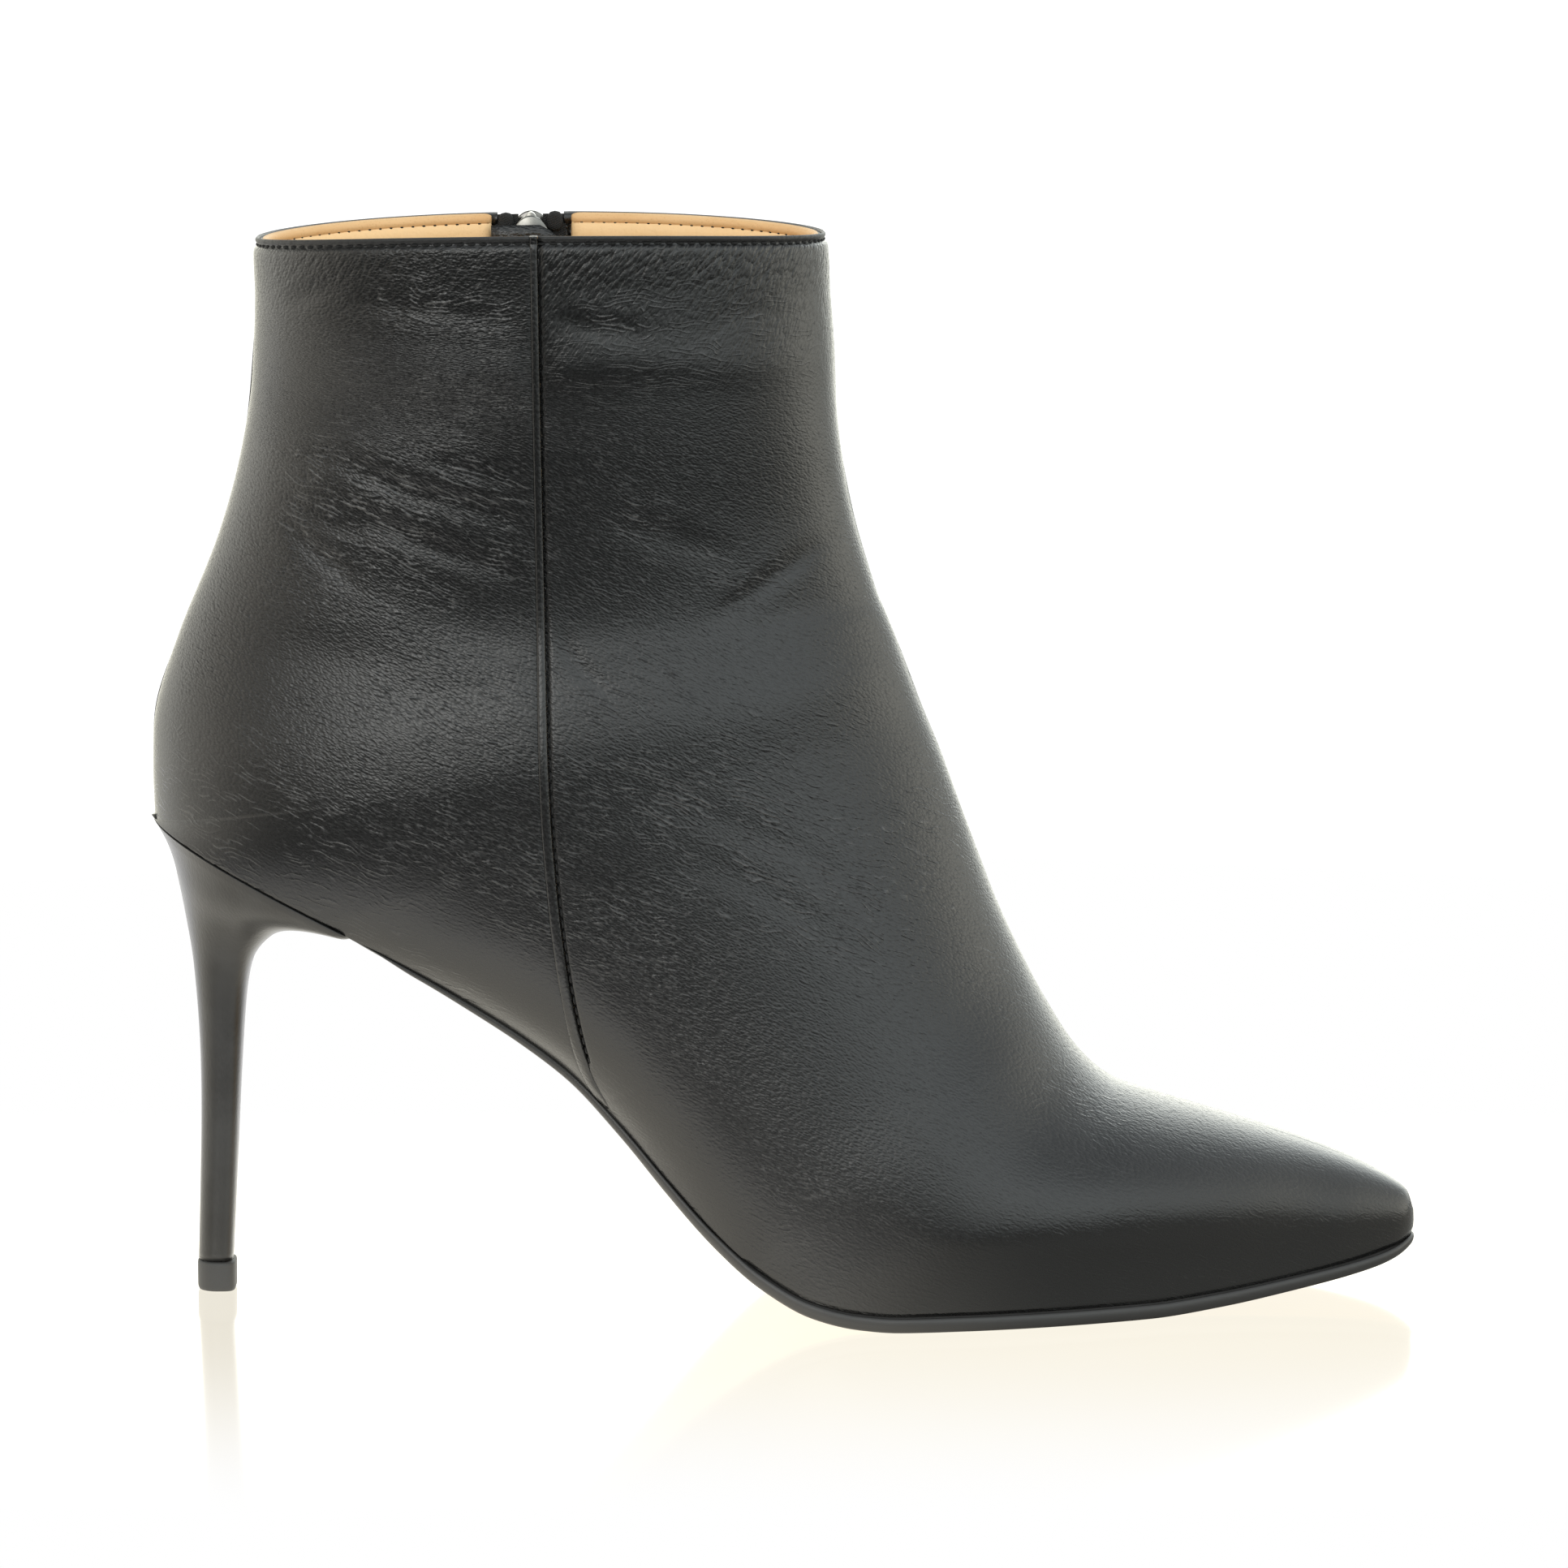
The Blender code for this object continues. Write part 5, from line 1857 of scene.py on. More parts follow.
    def collar_path(self, below: float, inside: float) -> list[tuple[Array, Array]]:
        """Paths round the collar on both sides of the zip, at a depth inside the outer face.

        Args:
            below: Distance below the rim.
            inside: The depth, 0 on the outer face.

        Returns:
            Points and directions of each path.
        """
        t = below / (SECTIONS[0].front_z - SECTIONS[1].front_z)
        paths = []
        front = LAST.line_q(t, Side.MEDIAL, self.slot_half + 0.8 + (1.6 if inside else 0.0))
        back = LAST.line_q(t, Side.MEDIAL, -self.slot_half - 0.8 - (1.6 if inside else 0.0))
        legs = (
            ((Side.MEDIAL, np.linspace(float(front), 0.0, 160)), (Side.LATERAL, np.linspace(0.0, 1.0, 320))),
            ((Side.MEDIAL, np.linspace(1.0, float(back), 160)),),
        )
        for leg in legs:
            points = np.concatenate([LAST.point(np.full(q.shape, t), side, q) for side, q in leg])
            normals = np.concatenate([LAST.normal(np.full(q.shape, t), side, q) for side, q in leg])
            paths.append((points - normals * inside, -normals if inside else normals))
        return paths

    def line_path(self, side: Side, offset: float, t_span: tuple[float, float]) -> tuple[Array, Array]:
        """Path beside the seam or the zip."""
        t = np.linspace(t_span[0], t_span[1], 500)
        q = LAST.line_q(t, side, offset)
        return LAST.point(t, side, q), LAST.normal(t, side, q)

    def build_stitches(self) -> list[Piece]:
        """Black stitches on the outside, and the stitches along the top of the lining.

        Returns:
            Both pieces.
        """
        shape, faces = self.stitch_shape()
        paths = self.collar_path(self.skin.groove_at, 0.0)
        outside = [self.stitch_line(*path, self.collar_lift, self.stitch) for path in paths]
        seam = self.line_path(Side.LATERAL, self.strip_half_low + 0.35, (0.14, self.seam_end - 0.2))
        outside.append(self.stitch_line(*seam, self.seam_lift, self.stitch))
        zip_span = (0.1, self.slot_round_t[0])
        for sign in (1, -1):
            beside = self.line_path(Side.MEDIAL, sign * (self.slot_half + self.skin.zip_stitch_at), zip_span)
            outside.append(self.stitch_line(*beside, self.zip_lift, self.stitch))
        depth = self.lining_depth + self.lining_wall + 0.3 * self.lining_puff
        paths = self.collar_path(self.lining_seam + 0.52, depth)
        inside = [self.stitch_line(*path, self.lining_lift, self.lining_stitch) for path in paths]
        rows = {"upper_stitches": outside, "lining_stitches": inside}
        meshes = [stamp(name, shape, faces, np.concatenate(frames)) for name, frames in rows.items()]
        return [hand_over(place_piece(mesh, THREAD.material()), "upper_leather") for mesh in meshes]

    def build(self) -> list[Piece]:
        """Build and dress every piece of the upper."""
        panels = [self.build_front(), self.build_back()]
        return [*panels, self.build_strip(), self.build_lining(), *self.build_stitches()]


class EdgePoint(NamedTuple):
    """A point of a plate's edge: how far it stands in and its share of the height."""

    inset: float
    height: float


@dataclass
class Plate:
    """A plate that follows the boot's outline and profile, as the sole and the insole do."""

    rear_x: float
    edge: tuple[EdgePoint, ...]
    grow: float = 0.0
    waist_grow: float = 0.0
    waist_end: Span = (-50.0, 0.0)
    across: int = 14

    def stations(self) -> Array:
        """Places along the boot, closer together at the round ends.

        Returns:
            The places, rising.
        """
        tip = BOOT_LENGTH / 2
        rear = np.linspace(0.0, 1.0, 24)[:-1] ** 2 * (SEAT_WIDEST_X - self.rear_x) + self.rear_x
        rear = rear if self.rear_x < SEAT_WIDEST_X else np.array([self.rear_x])
        body = np.linspace(max(rear[-1] + 1.0, SEAT_WIDEST_X), NOSE_START_X - 3.0, 150)
        nose = tip - (tip - NOSE_START_X + 3.0) * np.linspace(1.0, 0.0, 26)[1:] ** 2
        return np.concatenate((rear, body, nose))

    def rims(self) -> tuple[Array, Array]:
        """Outline points and outward directions: lateral side to the tip, then back on the medial side.

        Returns:
            The points and the directions.
        """
        x = self.stations()
        lateral = np.stack((x, -LAST.outline(x, Side.LATERAL)), axis=1)
        medial = np.stack((x, LAST.outline(x, Side.MEDIAL)), axis=1)
        lateral[-1, 1] = medial[-1, 1] = TOE_TIP_Y
        ring = np.concatenate((lateral, medial[-2::-1]))
        tangent = np.gradient(ring, axis=0)
        if self.rear_x < SEAT_WIDEST_X:
            tangent[0] = tangent[-1] = (0.0, -1.0)
        return ring, unit(np.stack((tangent[:, 1], -tangent[:, 0]), axis=1))

    def loops(self, bottom_of: Any, top_of: Any, crown: float = 0.0) -> tuple[Array, Array]:
        """Loops across the plate from the rear to the tip.

        Args:
            bottom_of: Height of the underside at a place along the boot.
            top_of: Height of the upper face.
            crown: Extra height in the middle of the upper face.

        Returns:
            The loops, and for each point its distance in from the edge, below zero on the upper face.
        """
        ring, outward = self.rims()
        toe_pull = self.grow * smooth_step(ring[:, 0], NOSE_START_X, BOOT_LENGTH / 2)
        grow = self.grow + self.waist_grow * (1.0 - smooth_step(ring[:, 0], *self.waist_end))
        ring = ring + outward * grow[:, None] - np.stack((toe_pull, np.zeros(len(ring))), axis=1)
        count = (len(ring) + 1) // 2
        rows, depth = [], []
        share = np.linspace(0.0, 1.0, self.across + 1)[1:-1]
        for i in range(count):
            sides = []
            for k in (i, len(ring) - 1 - i):
                flat = [ring[k] - outward[k] * point.inset for point in self.edge]
                heights = [
                    float(bottom_of(xy[0])) * (1.0 - point.height) + float(top_of(xy[0])) * point.height
                    for xy, point in zip(flat, self.edge)
                ]
                sides.append(np.column_stack((np.array(flat), heights)))
            lateral, medial = sides
            under = lateral[-1] + share[:, None] * (medial[-1] - lateral[-1])
            under[:, 2] = bottom_of(under[:, 0])
            over = medial[0] + share[:, None] * (lateral[0] - medial[0])
            over[:, 2] = top_of(over[:, 0]) + crown * np.sin(np.pi * share)
            rows.append(np.concatenate((lateral, under, medial[::-1], over)))
            half = np.linalg.norm(lateral[-1] - medial[-1]) / 2
            insets = np.array([point.inset for point in self.edge])
            middle = self.edge[-1].inset + half * (1.0 - np.abs(2.0 * share - 1.0))
            depth.append(np.concatenate((insets * 0.0, middle, insets * 0.0, -middle)))
        return np.array(rows), np.array(depth)


@dataclass
class Bottom:
    """What lies under the foot: the outsole with its rounded edge, and the insole with its sock."""

    closeness: float = 0.06
    sole_rear: float = -79.7
    sole_grow: float = 0.8
    waist_grow: float = -1.3
    lip_share: float = 0.75
    lip_x: Span = (-80.0, -68.0)
    tread_start: Span = (0.9, 1.6)
    sock_thickness: float = 2.2
    sock_inset: float = 2.1
    sock_rear: float = -113.4
    sock_gap: float = 0.05
    sock_crown: float = 0.5

    def underside(self, x: Array) -> Array:
        """Underside of the sole, which thins out to a lip over the heel's breast."""
        thick = LAST.feather(x) - LAST.sole_line(x)
        return LAST.sole_line(x) + self.lip_share * thick * (1.0 - smooth_step(x, *self.lip_x))

    def build_outsole(self) -> Piece:
        """Thin sole: black rounded edge, natural leather underneath.

        Returns:
            The dressed piece.
        """
        edge = (
            EdgePoint(2.4, 1.0),
            EdgePoint(1.25, 1.0),
            EdgePoint(1.05, 0.9),
            EdgePoint(0.88, 0.86),
            EdgePoint(0.62, 0.92),
            EdgePoint(0.3, 0.88),
            EdgePoint(0.07, 0.72),
            EdgePoint(0.0, 0.5),
            EdgePoint(0.06, 0.32),
            EdgePoint(0.24, 0.15),
            EdgePoint(0.6, 0.03),
            EdgePoint(1.0, 0.0),
            EdgePoint(1.5, 0.0),
        )
        plate = Plate(self.sole_rear, edge, self.sole_grow, self.waist_grow)
        loops, depth = plate.loops(self.underside, lambda x: LAST.feather(x) - self.closeness)
        index = grid_numbers(loops)
        mesh = to_mesh("outsole_leather", loops, [*grid_faces(index, wrap=True).tolist(), index[0].tolist()])
        set_numbers(mesh, "tread", smooth_step(depth, *self.tread_start))
        weld(mesh)
        return hand_over(place_piece(mesh, SOLE.material()), "sole_leather", "outsole")

    def build_sock(self) -> Piece:
        """Insole board with its tan sock, softly crowned.

        Returns:
            The dressed piece.
        """
        edge = (
            EdgePoint(0.9, 1.0),
            EdgePoint(0.35, 0.93),
            EdgePoint(0.05, 0.72),
            EdgePoint(0.0, 0.4),
            EdgePoint(0.1, 0.0),
        )
        plate = Plate(self.sock_rear, edge, -self.sock_inset)

        def bottom(x: Array) -> Array:
            """Underside, just over the feather line."""
            return LAST.feather(x) + self.sock_gap

        loops, _ = plate.loops(bottom, lambda x: bottom(x) + self.sock_thickness, self.sock_crown)
        keep = loops[:, 0, 0] < NOSE_START_X - self.sock_inset
        mesh = loft("insole_sock", loops[keep])
        set_vectors(mesh, "skin", np.full((len(mesh.vertices), 3), FAR_BELOW))
        return hand_over(place_piece(mesh, LINING.material()), "insole_sock", "insole")

    def build(self) -> list[Piece]:
        """Build and dress both plates."""
        return [self.build_outsole(), self.build_sock()]


@dataclass
class Heel:
    """The leather-covered heel block and the wearing piece under its tip."""

    rings: int = 110
    half_points: int = 36
    lifted_rings: int = 8
    smoothing: int = 40
    seat_shares: tuple[float, ...] = (0.9, 0.97, 0.992)
    seat_rises: tuple[float, ...] = (0.12, 0.12, 0.08)
    tip_height: float = 5.5
    tip_round: float = 0.45

    def loop(self, row: dict[str, float]) -> Array:
        """Closed loop of one section: flat breast in front, round at the back.

        Args:
            row: The section's sizes by name.

        Returns:
            Points of the loop.
        """
        q = np.linspace(0.0, 1.0, self.half_points + 1)
        front_angle = np.pi * np.minimum(q, 0.5)
        back_angle = np.pi * np.maximum(q - 0.5, 0.0)
        front, back = 2.0 / row["front_power"], 2.0 / row["back_power"]
        part = np.where(
            q <= 0.5,
            row["widest"] * (1.0 - np.maximum(0.0, np.cos(front_angle)) ** front),
            row["widest"] + (1.0 - row["widest"]) * np.sin(back_angle) ** back,
        )
        out = row["half"] * np.where(
            q <= 0.5, np.sin(front_angle) ** front, np.maximum(0.0, np.cos(back_angle)) ** back
        )
        x = row["front_x"] + part * (row["back_x"] - row["front_x"])
        z = row["front_z"] + part * (row["back_z"] - row["front_z"])
        side = np.stack((x, out, z), axis=1)
        return np.concatenate((side, side[-2:0:-1] * (1.0, -1.0, 1.0)))

    def build_block(self) -> Piece:
        """Heel block, its seat slightly rounded where the leather turns in.

        Returns:
            The dressed piece.
        """
        curves = {name: Curve.without_overshoot(HEEL, name) for name in HeelRow._fields}
        seat_places = np.linspace(0.0, 2.0, 18)[:-1]
        places = np.concatenate((seat_places, np.linspace(2.0, len(HEEL) - 1.0, self.rings)))
        rows = [{name: float(curve(at)) for name, curve in curves.items()} for at in places]
        block = np.array([self.loop(row) for row in rows])
        for _ in range(self.smoothing):
            block[4:-1] += 0.25 * (block[5:] + block[3:-2] - 2.0 * block[4:-1])
        lift = np.maximum(LAST.feather(block[0, :, 0]) - block[0, :, 2], 0.0)
        fade = np.linspace(0.0, 1.0, self.lifted_rings + 1)[:-1, None]
        block[: self.lifted_rings, :, 2] += lift * (1.0 - fade)
        loops = list(block)
        centre = loops[0].mean(axis=0)
        seat = [centre + (loops[0] - centre) * share for share in self.seat_shares]
        turned = [ring + (0.0, 0.0, rise) for ring, rise in zip(seat, self.seat_rises)]
        loops[0] = loops[0] - (0.0, 0.0, 0.06)
        mesh = loft("heel_cover", np.array(turned + loops))
        return hand_over(place_piece(mesh, HEEL_LEATHER.material()), "heel_leather", "heel")

    def build_tip(self) -> Piece:
        """Wearing piece with rounded edges and a fine shoulder.

        Returns:
            The dressed piece.
        """
        base = self.loop(TOP_PIECE._asdict())
        centre = base.mean(axis=0)
        r, top = self.tip_round, self.tip_height
        foot = ((0.86, 0.0), (0.95, 0.05), (0.99, r), (1.0, r + 0.4))
        levels = (*foot, (1.0, top - 0.6), (0.985, top - 0.2), (0.93, top))
        loops = [centre + (base - centre) * share + (0.0, 0.0, z) for share, z in levels]
        mesh = loft("heel_tip", np.array(loops))
        return hand_over(place_piece(mesh, TIP_RUBBER.material()), "top_piece_rubber", "heel_top_piece")

    def build(self) -> list[Piece]:
        """Build and dress the heel."""
        return [self.build_block(), self.build_tip()]


@dataclass
class Zip:
    """The side zip: tapes, teeth, bottom clip, slider, pull tab and the guard behind them."""

    tape_span: Span = (0.02, 9.6)
    tape_inner: float = 2.3
    tape_outer: float = 6.6
    tape_depth: Span = (0.75, 1.5)
    teeth_span: Span = (0.5, 9.42)
    tooth_pitch: float = 1.35
    tooth_offset: float = 0.75
    tooth_depth: float = 0.75
    tooth_size: tuple[float, float, float] = (0.9, 2.6, 1.5)
    end_rows: Span = (0.09, 0.1)
    end_offsets: Span = (4.6, -4.7)
    end_depths: Span = (1.9, 1.8)
    end_half: tuple[float, float, float] = (1.9, 1.5, 1.1)
    guard_edges: Span = (-7.6, 7.4)
    guard_end: float = 9.7
    guard_depth: float = 4.2
    guard_bow: float = 0.9
    guard_wall: float = 0.8
    clip_span: Span = (9.45, 9.56)
    slider_centre: tuple[float, float, float] = (-47.92, 30.15, 192.2)
    slider_half: Span = (4.35, 6.5)
    slider_front: float = 0.5
    slider_back: float = 2.5
    slider_foot: float = 0.72
    plate: float = 1.0
    plate_edge: float = 0.35
    pivot: tuple[float, float, float] = (-47.92, 32.9, 192.2)
    tab_size: tuple[float, float, float] = (6.0, 1.3, 25.0)
    eye_size: Span = (3.2, 4.6)

    @staticmethod
    def surface(t: Array, offset: float | Array, depth: float | Array) -> Array:
        """Points at a depth under the upper's outer face, beside the zip line."""
        t, offset, depth = np.broadcast_arrays(t, offset, depth)
        q = LAST.line_q(t, Side.MEDIAL, offset)
        return LAST.point(t, Side.MEDIAL, q) - LAST.normal(t, Side.MEDIAL, q) * depth[..., None]

    def strip(
        self, name: str, span: tuple[float, float], offsets: Array, outer: Array, inner: Array
    ) -> Mesh:
        """Closed strip along the zip.

        Args:
            name: Name of the mesh.
            span: First and last running row number.
            offsets: Places across the strip.
            outer: Depth of the outer face at each place.
            inner: Depth of the inner face at each place.

        Returns:
            The mesh.
        """
        t = np.linspace(span[0], span[1], 120)[:, None]
        across = np.concatenate((offsets, offsets[::-1]))[None, :]
        depth = np.concatenate((outer, inner[::-1]))[None, :]
        return loft(name, self.surface(t, across, depth))

    def build_tapes(self) -> list[Piece]:
        """The two woven tapes, each with a ribbed edge beside the teeth.

        Returns:
            Both pieces.
        """
        begin = self.tape_inner
        offsets = np.array([begin, begin + 0.5, begin + 1.0, 4.4, self.tape_outer])
        rib = np.array([0.1, -0.12, 0.1, 0.0, 0.12])
        outer, inner = self.tape_depth[0] + rib, self.tape_depth[1] - rib
        pieces = []
        for name, sign in (("toe", 1), ("heel", -1)):
            across, faces = offsets[::-sign] * sign, (outer[::-sign], inner[::-sign])
            mesh = self.strip(f"zip_woven_tape_{name}_side", self.tape_span, across, *faces)
            piece = place_piece(mesh, TAPE.material())
            pieces.append(hand_over(piece, "zip_tape", f"zip_tape_{name}_side"))
        return pieces

    def build_tape_ends(self) -> Piece:
        """The tapes' upper ends, folded over into thick tucks beside the slider.

        Returns:
            The dressed piece.
        """
        sizes = (np.array(self.end_rows), np.array(self.end_offsets), np.array(self.end_depths))
        middle, along, across = self.directions(*sizes)
        across = unit(across)
        up = np.cross(along, across)
        long, wide, high = self.end_half
        frames = np.stack((middle, along * long, across * wide, up * high), axis=1)
        mesh = stamp("zip_tape_ends", *self.rounded_block(0.8), frames)
        return hand_over(place_piece(mesh, TAPE.material()), "zip_tape")

    def directions(self, rows: Array, offsets: Array, depth: float | Array) -> tuple[Array, Array, Array]:
        """Places beside the zip line, the direction down the zip there, and a step across it."""
        middle = self.surface(rows, offsets, depth)
        ahead = self.surface(rows + 0.02, offsets, depth)
        return middle, unit(ahead - middle), self.surface(rows, offsets + 0.4, depth) - middle

    def build_teeth(self) -> Piece:
        """Closed chain of teeth that mesh from both sides.

        Returns:
            The dressed piece.
        """
        t = np.linspace(self.teeth_span[0], self.teeth_span[1], 900)
        line = self.surface(t, 0.0, 0.7)
        run = run_length(line)
        places = np.arange(0.6, run[-1] - 0.4, self.tooth_pitch / 2)
        rows = np.interp(places, run, t)
        signs = np.where(np.arange(len(rows)) % 2 == 0, 1.0, -1.0)
        middle, along, across = self.directions(rows, signs * self.tooth_offset, self.tooth_depth)
        across = unit(across - along * np.sum(across * along, axis=1, keepdims=True))
        up = np.cross(along, across)
        size = [part / 2 for part in self.tooth_size]
        frames = np.stack((middle, along * size[0], across * size[1], up * size[2]), axis=1)
        mesh = stamp("zip_teeth", *self.rounded_block(), frames)
        return hand_over(place_piece(mesh, TEETH.material()), "zip_teeth", "zip_chain")

    @staticmethod
    def rounded_block(power: float = 0.5) -> tuple[Array, list[list[int]]]:
        """A unit block with soft edges, rounder with a higher power.

        Args:
            power: Power of the circle that it is made from.

        Returns:
            Its points and faces.
        """
        rise = np.linspace(-math.pi / 2, math.pi / 2, 7)[1:-1, None]
        turn = np.linspace(0.0, 2.0 * math.pi, 13)[None, :-1]
        wide = signed_power(np.cos(rise), power)
        parts = (
            wide * signed_power(np.cos(turn), power),
            wide * signed_power(np.sin(turn), power),
            signed_power(np.sin(rise), power),
        )
        rings = np.stack(np.broadcast_arrays(*parts), axis=-1)
        index = grid_numbers(rings)
        caps = [index[0, ::-1].tolist(), index[-1].tolist()]
        return rings.reshape(-1, 3), [*grid_faces(index, True, True).tolist(), *caps]

    def build_clip(self) -> Piece:
        """Clip that ends the chain.

        Returns:
            The dressed piece.
        """
        offsets = np.array([-2.4, -2.0, -1.0, 0.0, 1.0, 2.0, 2.4])
        outer = np.array([0.5, 0.0, -0.2, -0.25, -0.2, 0.0, 0.5])
        mesh = self.strip("zip_bottom_clip", self.clip_span, offsets, outer, np.full(7, 2.0))
        return hand_over(place_piece(mesh, METAL.material()), "zip_metal", "zip_bottom_stop")

    @staticmethod
    def shield(half_width: float, half_height: float, foot: float) -> Array:
        """Outline of a slider plate: round shoulders, narrower at the foot.

        Args:
            half_width: Half of the width.
            half_height: Half of the height.
            foot: Share of the width at the foot.

        Returns:
            Points (x, z) of the outline.
        """
        angle = np.linspace(0.0, 2.0 * math.pi, 49)[:-1]
        power = np.where(np.sin(angle) > 0.0, 1.0, 2.0 / 3.2)
        x = half_width * signed_power(np.cos(angle), power)
        z = half_height * signed_power(np.sin(angle), power)
        narrow = 1.0 - (1.0 - foot) * smooth_step(-z, -half_height * 0.2, half_height)
        return np.stack((x * narrow, z), axis=1)

    @staticmethod
    def slab(outline: Array, y_low: float, y_high: float, edge: float) -> Array:
        """Rounded slab of a flat outline, as loops from its low to its high face.

        Args:
            outline: Points (x, z) of the outline.
            y_low: Place of the low face.
            y_high: Place of the high face.
            edge: Radius of the rounded edges.

        Returns:
            The loops.
        """
        centre = outline.mean(axis=0)
        reach = np.abs(outline - centre).max()
        small = 1.0 - 0.8 * edge / reach
        levels = (
            (small, y_low),
            (1.0 - 0.25 * edge / reach, y_low + edge * 0.3),
            (1.0, y_low + edge),
            (1.0, y_high - edge),
            (1.0 - 0.25 * edge / reach, y_high - edge * 0.3),
            (small, y_high),
        )
        loops = [np.insert(centre + (outline - centre) * share, 1, y, axis=1) for share, y in levels]
        return np.array(loops)

    def build_slider(self) -> Piece:
        """Slider: a plate before and behind the tapes, a post and a strap that holds the tab.

        Returns:
            The dressed piece.
        """
        x, y, z = self.slider_centre
        half_width, half_height = self.slider_half
        plate_outline = self.shield(half_width, half_height, self.slider_foot) + (x, z)
        inner = self.shield(half_width - 0.3, half_height - 0.35, self.slider_foot) + (x, z - 0.35)
        post_outline = self.shield(1.3, 2.0, 1.0) + (x, z + half_height - 2.1)
        front = y + self.slider_front
        back = y - self.slider_back
        edge = self.plate_edge
        parts = [
            loft("front_plate", self.slab(plate_outline, front, front + self.plate, edge)),
            loft("back_plate", self.slab(inner, back - self.plate, back, edge)),
            loft("post", self.slab(post_outline, back - 0.4, front + 0.4, 0.1)),
            self.strap_mesh(x, front + self.plate, z),
        ]
        joined = bmesh.new()
        for part in parts:
            joined.from_mesh(part)
        mesh = bpy.data.meshes.new("zip_slider_body")
        joined.to_mesh(mesh)
        joined.free()
        mesh.shade_smooth()
        return hand_over(place_piece(mesh, METAL.material()), "zip_metal", "zip_slider")

    @staticmethod
    def strap_mesh(x: float, face_y: float, z: float) -> Mesh:
        """Bridge on the slider's face that the tab's pin passes under.

        Args:
            x: Place of its middle along the boot.
            face_y: Place of the slider's face.
            z: Height of its middle.

        Returns:
            The mesh.
        """
        angle = np.linspace(0.0, math.pi, 25)
        rise = face_y - 0.3 + 3.2 * np.sin(angle) ** 0.55
        high = z + 3.4 * np.cos(angle)
        path = np.stack((rise, high), axis=1)
        tangent = unit(np.gradient(path, axis=0))
        out = np.stack((-tangent[:, 1], tangent[:, 0]), axis=1)
        ring_angle = np.linspace(0.0, 2.0 * math.pi, 17)[:-1]
        across = signed_power(np.cos(ring_angle), 0.6)
        thick = 0.38 * signed_power(np.sin(ring_angle), 0.6)
        loops = [
            np.stack((x + across, place[0] + thick * normal[0], place[1] + thick * normal[1]), axis=1)
            for place, normal in zip(path, out)
        ]
        return loft("strap", np.array(loops))

    def build_tab(self) -> Piece:
        """Pull tab: a round eye at the pin, a waist and a longer grip.

        Returns:
            The dressed piece.
        """
        width, thick, length = self.tab_size
        top = thick / 2
        outline = self.tab_outline(width / 2, top, length)
        body = loft("zip_pull", self.slab(outline, -thick / 2, thick / 2, self.plate_edge))
        eye = self.shield(self.eye_size[0] / 2, self.eye_size[1] / 2, 1.0)
        eye = eye + (0.0, -top - self.eye_size[1] / 2)
        hole = loft("pull_eye", self.slab(eye, -thick, thick, 0.01))
        piece = place_piece(body, METAL.material())
        cutter = place_piece(hole, METAL.material())
        cut = piece.modifiers.new("eye", "BOOLEAN")
        cut.object = cutter
        cut.operation = "DIFFERENCE"
        round_edges = piece.modifiers.new("edges", "BEVEL")
        round_edges.width = 0.18 * MM
        round_edges.segments = 2
        round_edges.angle_limit = math.radians(50.0)
        shaped = piece.evaluated_get(bpy.context.evaluated_depsgraph_get())
        mesh = bpy.data.meshes.new_from_object(shaped)
        piece.modifiers.clear()
        piece.data = mesh
        bpy.data.objects.remove(cutter)
        mesh.shade_smooth()
        mesh.set_sharp_from_angle(angle=math.radians(40.0))
        mesh.transform(Matrix.Translation(Vector(self.pivot) * MM))
        return hand_over(piece, "zip_metal", "zip_pull_tab", body="pull_tab")

    @staticmethod
    def tab_outline(half: float, top: float, length: float) -> Array:
        """Outline of the tab from its round eye to its rounded grip.

        Args:
            half: Half of the width.
            top: Height of the top over the pin.
            length: Length of the tab.

        Returns:
            Points (x, z) of the outline.
        """
        share = np.linspace(0.0, 1.0, 41)
        down = top - length * share
        from_top = np.clip(share * length / 2.6, 0.0, 1.0)
        from_low = np.clip((1.0 - share) * length / 2.4, 0.0, 1.0)
        round_top, round_low = (np.sqrt(1.0 - (1.0 - part) ** 2) for part in (from_top, from_low))
        waist = 1.0 - 0.24 * np.exp(-(((share - 0.36) / 0.1) ** 2))
        wide = half * np.maximum(round_top * round_low * waist, 0.02)
        right = np.stack((wide, down), axis=1)
        left = np.stack((-wide, down), axis=1)[::-1]
        return np.concatenate((right, left))

    def build_guard(self) -> Piece:
        """Black leather guard inside the boot, behind the zip.

        Returns:
            The dressed piece.
        """
        offsets = np.linspace(*self.guard_edges, 9)
        t = np.linspace(0.0, 1.0, 90)[:, None]
        dip = 0.12 + 0.75 * smooth_step(offsets, 1.5, 9.0) * 0.35
        rows = dip[None, :] + (self.guard_end - dip[None, :]) * t
        across = np.concatenate((offsets, offsets[::-1]))[None, :]
        deep = self.guard_depth - self.guard_bow * np.abs(offsets / self.guard_edges[0]) ** 2
        depth = np.concatenate((deep, deep[::-1] + self.guard_wall))[None, :]
        both = np.concatenate((rows, rows[:, ::-1]), axis=1)
        mesh = loft("zip_guard", self.surface(both, across, depth))
        lay_leather(mesh, 0.3, place_points(mesh), (0.0, FAR_BELOW, 1.0))
        return hand_over(place_piece(mesh, UPPER_LEATHER.material()), "upper_leather")

    def build(self) -> list[Piece]:
        """Build and dress every piece of the zip."""
        chain = [*self.build_tapes(), self.build_tape_ends(), self.build_teeth(), self.build_clip()]
        return [*chain, self.build_slider(), self.build_tab(), self.build_guard()]


